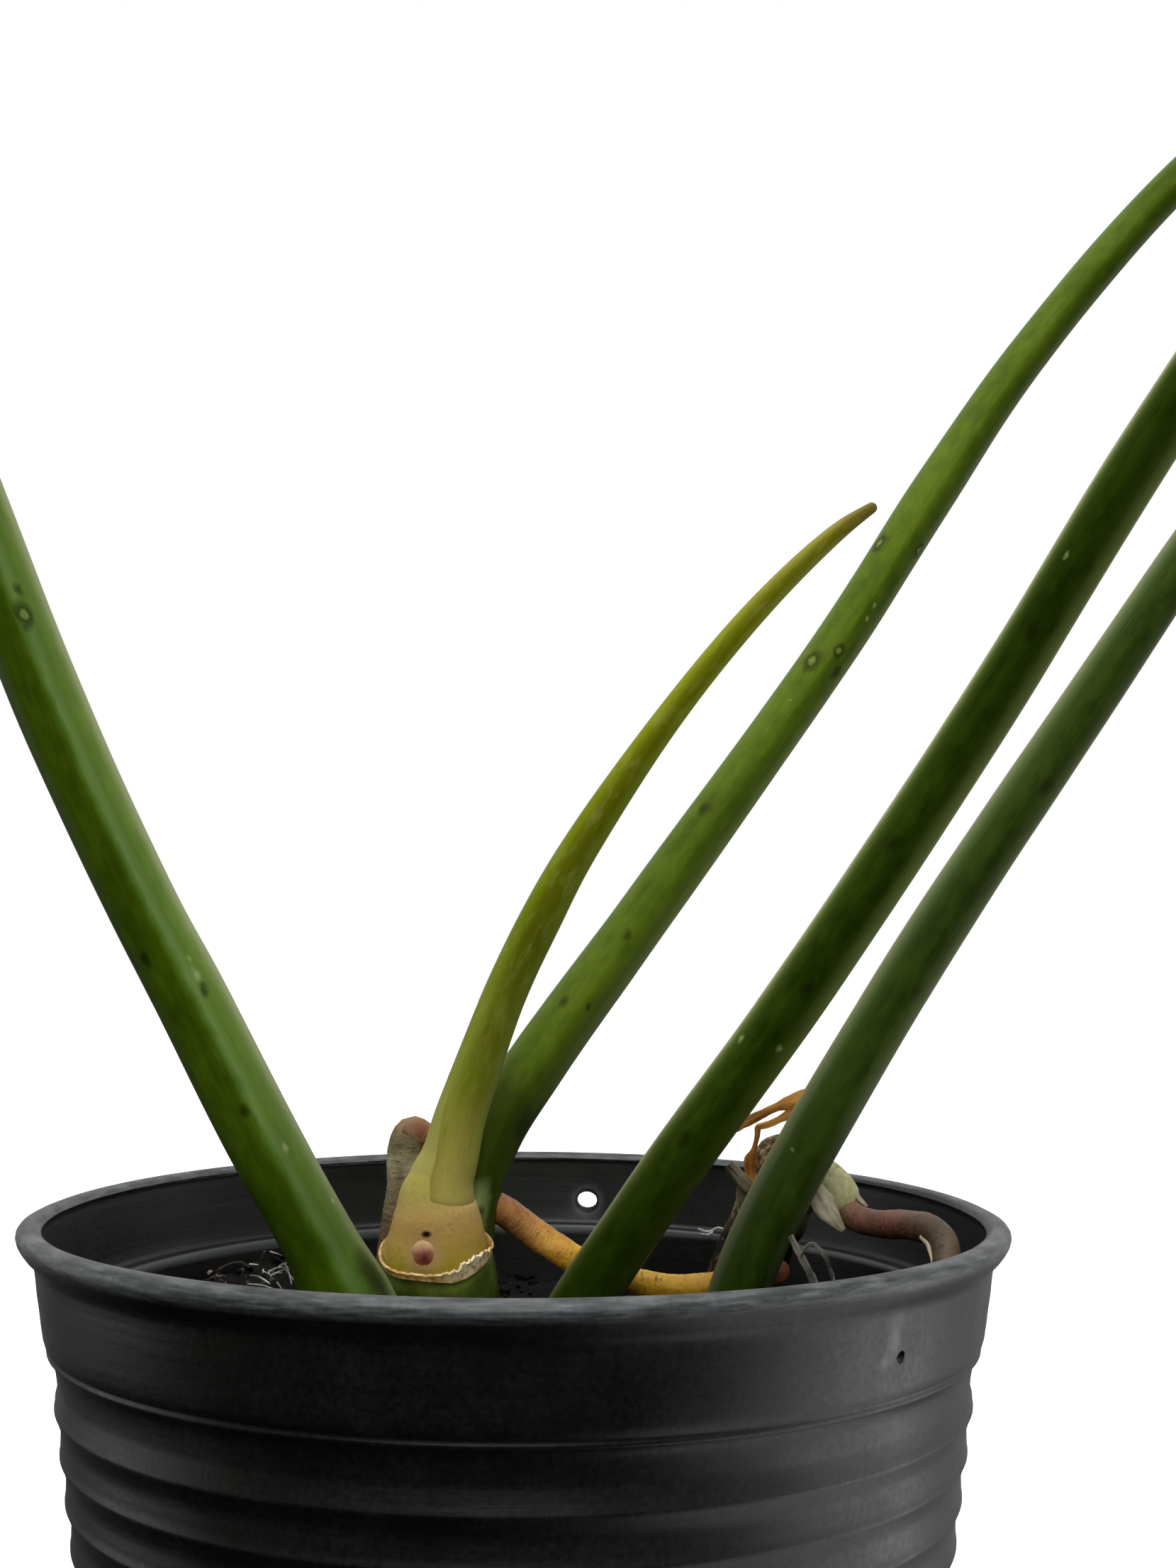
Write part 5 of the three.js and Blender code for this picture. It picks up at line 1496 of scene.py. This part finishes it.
def blade_mesh(blade):
    """A whole blade: six half lobes in one sheet, given its thickness and ribs, then placed."""
    bm = bmesh.new()
    bm.verts.layers.float_vector.new("leaf")
    bm.verts.layers.float.new("rib")
    spread = math.radians(blade["spread"])
    corner = spread * BLADE["corner_at"]
    front = (blade["front"], blade["front_width"])
    back = (blade["back"], blade["back_width"])
    outer, inner = BLADE["corner"], BLADE["sinus"]
    for side in (1, -1):
        lay_half_lobe(bm, blade, *front, 0.0, side, side * corner, outer, FRONT_VEINS)
        lay_half_lobe(bm, blade, *back, side * spread, -side, side * corner, outer, BACK_VEINS)
        lay_half_lobe(bm, blade, *back, side * spread, side, side * math.pi, inner, BACK_VEINS)
    bmesh.ops.remove_doubles(bm, verts=bm.verts, dist=0.02)
    bmesh.ops.recalc_face_normals(bm, faces=bm.faces)
    if sum(face.normal.z for face in bm.faces) < 0:
        bmesh.ops.reverse_faces(bm, faces=bm.faces)
    bm.normal_update()
    up = bm.verts.layers.float_vector.new("up")
    under = bm.verts.layers.float.new("under")
    rib = bm.verts.layers.float["rib"]
    for vertex in bm.verts:
        vertex[up] = vertex.normal
    grown = bmesh.ops.extrude_face_region(bm, geom=bm.faces[:], use_keep_orig=True)["geom"]
    for vertex in [g for g in grown if isinstance(g, bmesh.types.BMVert)]:
        vertex[under] = 1.0
    half = 0.5 * BLADE["margin_thickness"]
    for vertex in bm.verts:
        below = vertex[under] > 0.5
        vertex.co += vertex[up] * (-half - vertex[rib] if below else half - 0.12 * vertex[rib])
    bm.verts.layers.float_vector.remove(bm.verts.layers.float_vector["up"])
    heading, dip = math.radians(blade["heading"]), math.radians(blade["dip"])
    forward = Vector((math.cos(heading) * math.cos(dip), math.sin(heading) * math.cos(dip),
                      -math.sin(dip)))
    normal = Vector((math.cos(heading) * math.sin(dip), math.sin(heading) * math.sin(dip),
                     math.cos(dip)))
    normal.rotate(Matrix.Rotation(math.radians(blade["roll"]), 3, forward))
    basis = Matrix((forward, normal.cross(forward), normal)).transposed().to_4x4()
    place = Matrix.Translation(blade["junction"]) @ basis
    bmesh.ops.transform(bm, matrix=place, verts=bm.verts)
    return bm


print("leaf blades to lay:", ", ".join(BLADES))

# %% [markdown]
# The upper skin of the leaf is deep green and shiny, with pale veins. The lower one is paler and
# duller. Both belong to one mesh, so the attribute "under" tells the two sides apart.


# %% Leaf skin
def aroid_leaf():
    """Leaf skin: deep green and glossy above, paler and duller below, with pale veins."""
    material, tree = new_material("aroid_leaf_cuticle", IOR=1.42)
    leaf = add(tree, "Attribute", out="Vector", attribute_name="leaf")
    from_rib, row, to_edge = add(tree, "SeparateXYZ", {0: leaf}, out=None).outputs
    under = add(tree, "Attribute", out="Fac", attribute_name="under")
    place = millimetres(tree)
    mottle = add(tree, "TexNoise", {"Vector": place, "Scale": 0.05, "Detail": 5})
    cells = add(tree, "TexNoise", {"Vector": place, "Scale": 1.1, "Detail": 3})
    upper = add(tree, "ValToRGB", {"Fac": mottle}, stops=[(0.32, "#24400f"), (0.68, "#38601a")])
    lower = add(tree, "ValToRGB", {"Fac": mottle}, stops=[(0.32, "#4c6a30"), (0.68, "#628240")])
    colour = add(tree, "Mix", {0: under, 6: upper, 7: lower}, out=2, data_type="RGBA")
    between_veins = add(tree, "Math", {0: row, 1: 1.0}, operation="PINGPONG")
    off_vein = add(tree, "Math", {0: between_veins, 1: 0.5}, operation="PINGPONG")
    stops = [(0.0, "#8ba45e", 0.7), (0.03, "#76904a", 0.5), (0.1, "#5a7a34", 0.0)]
    colour = lay_ramp(tree, colour, off_vein, stops, fades(tree, (to_edge, 0.7, 1.0, 1.0, 0.0)))
    colour = stain(tree, colour, "#98ac6c", (from_rib, 0.7, 1.6, 0.85, 0.0))
    wax = add(tree, "MapRange", {0: under, 3: 0.3, 4: 0.5})
    gloss = add(tree, "Math", {0: cells, 1: 0.08, 2: wax}, operation="MULTIPLY_ADD")
    return cover(material, colour, cells, 0.06, 0.5, Roughness=gloss)


leaf_skin = aroid_leaf()
for name, blade in BLADES.items():
    finish_piece(f"leaf_{name}", blade_mesh(blade), leaf_skin, [f"blade_{name}"])

# %% [markdown]
# ## Studio
# The upper sides of all stalks are bright and their fronts are dark, so the photograph's main light
# was overhead, a little left of the camera. The pot shows a window behind it at the right, and
# a weaker one at the left. Soft panels stand for them, and two weak ones for the light from the
# front and from the table at the right. The background is plain white, so the world looks white
# to the camera, while the plant is lit by a softer room, dark below and bright above. The floor
# is a pale sheet that glows white further out. The real pot stood on something dark, so the
# floor is kept out of reflections and bounced light.

# %% Light and floor
PANELS = {
    "overhead": dict(place=(-110, -260, 700), size=(850, 800), watts=4.8),
    "window_right": dict(place=(580, 10, 60), size=(460, 620), watts=0.95),
    "window_left": dict(place=(-600, 60, 120), size=(300, 420), watts=0.5),
    "front": dict(place=(-50, -900, 500), size=(260, 480), watts=1.7),
    "table_right": dict(place=(300, -20, -160), size=(400, 400), watts=0.5),
}
AIM = Vector((0, 0, 110))
WHITE = (1, 1, 1, 1)
BRIGHT_SIDE = (0.18, 0.3, 0.75)
for name, panel in PANELS.items():
    light = bpy.data.lights.new(name, "AREA")
    light.shape = "RECTANGLE"
    light.size, light.size_y = (side * MM for side in panel["size"])
    light.energy = panel["watts"]
    lamp = bpy.data.objects.new(name, light)
    lamp.location = Vector(panel["place"]) * MM
    lamp.rotation_euler = (AIM - Vector(panel["place"])).to_track_quat("-Z", "Y").to_euler()
    scene.collection.objects.link(lamp)

world = bpy.data.worlds.new("white_room")
scene.world = world
world.use_nodes = True
sky = world.node_tree
sky.nodes.clear()
seen = add(sky, "LightPath", out="Is Camera Ray")
direction = add(sky, "TexCoord", out="Generated")
towards = add(sky, "VectorMath", {0: direction, 1: BRIGHT_SIDE}, out="Value",
              operation="DOT_PRODUCT")
share = add(sky, "MapRange", {0: towards, 1: -0.4, 2: 0.8})
ROOM = [(0.0, "#141414"), (0.25, "#5c5c5c"), (0.42, "#a4a4a4"),
        (0.67, "#cfcfcf"), (1.0, "#e4e4e4")]
room = add(sky, "ValToRGB", {"Fac": share}, stops=ROOM)
soft = add(sky, "Background", {"Color": room, "Strength": 1.0})
white = add(sky, "Background", {"Color": WHITE, "Strength": 1.0})
add(sky, "OutputWorld", {"Surface": add(sky, "MixShader", {0: seen, 1: soft, 2: white})}, out=None)

sheet, sheet_tree = new_material("studio_sheet_white", Roughness=0.9, Emission_Color=WHITE)
out_from_pot = add(sheet_tree, "VectorMath", {0: millimetres(sheet_tree)}, out="Value",
                   operation="LENGTH")
glow = add(sheet_tree, "MapRange", {0: out_from_pot, 1: 60.0, 2: 330.0, 3: 0.35, 4: 1.0})
cover(sheet, (0.6, 0.6, 0.6, 1), Emission_Strength=glow)
floor_circle = bmesh.new()
bmesh.ops.create_circle(floor_circle, cap_ends=True, segments=64, radius=4.0)
floor = in_scene("floor", floor_circle)
floor.data.materials.append(sheet)
floor.visible_diffuse = False
floor.visible_glossy = False
floor.visible_shadow = False
scene.view_settings.view_transform = "Standard"
print("panels:", ", ".join(PANELS))
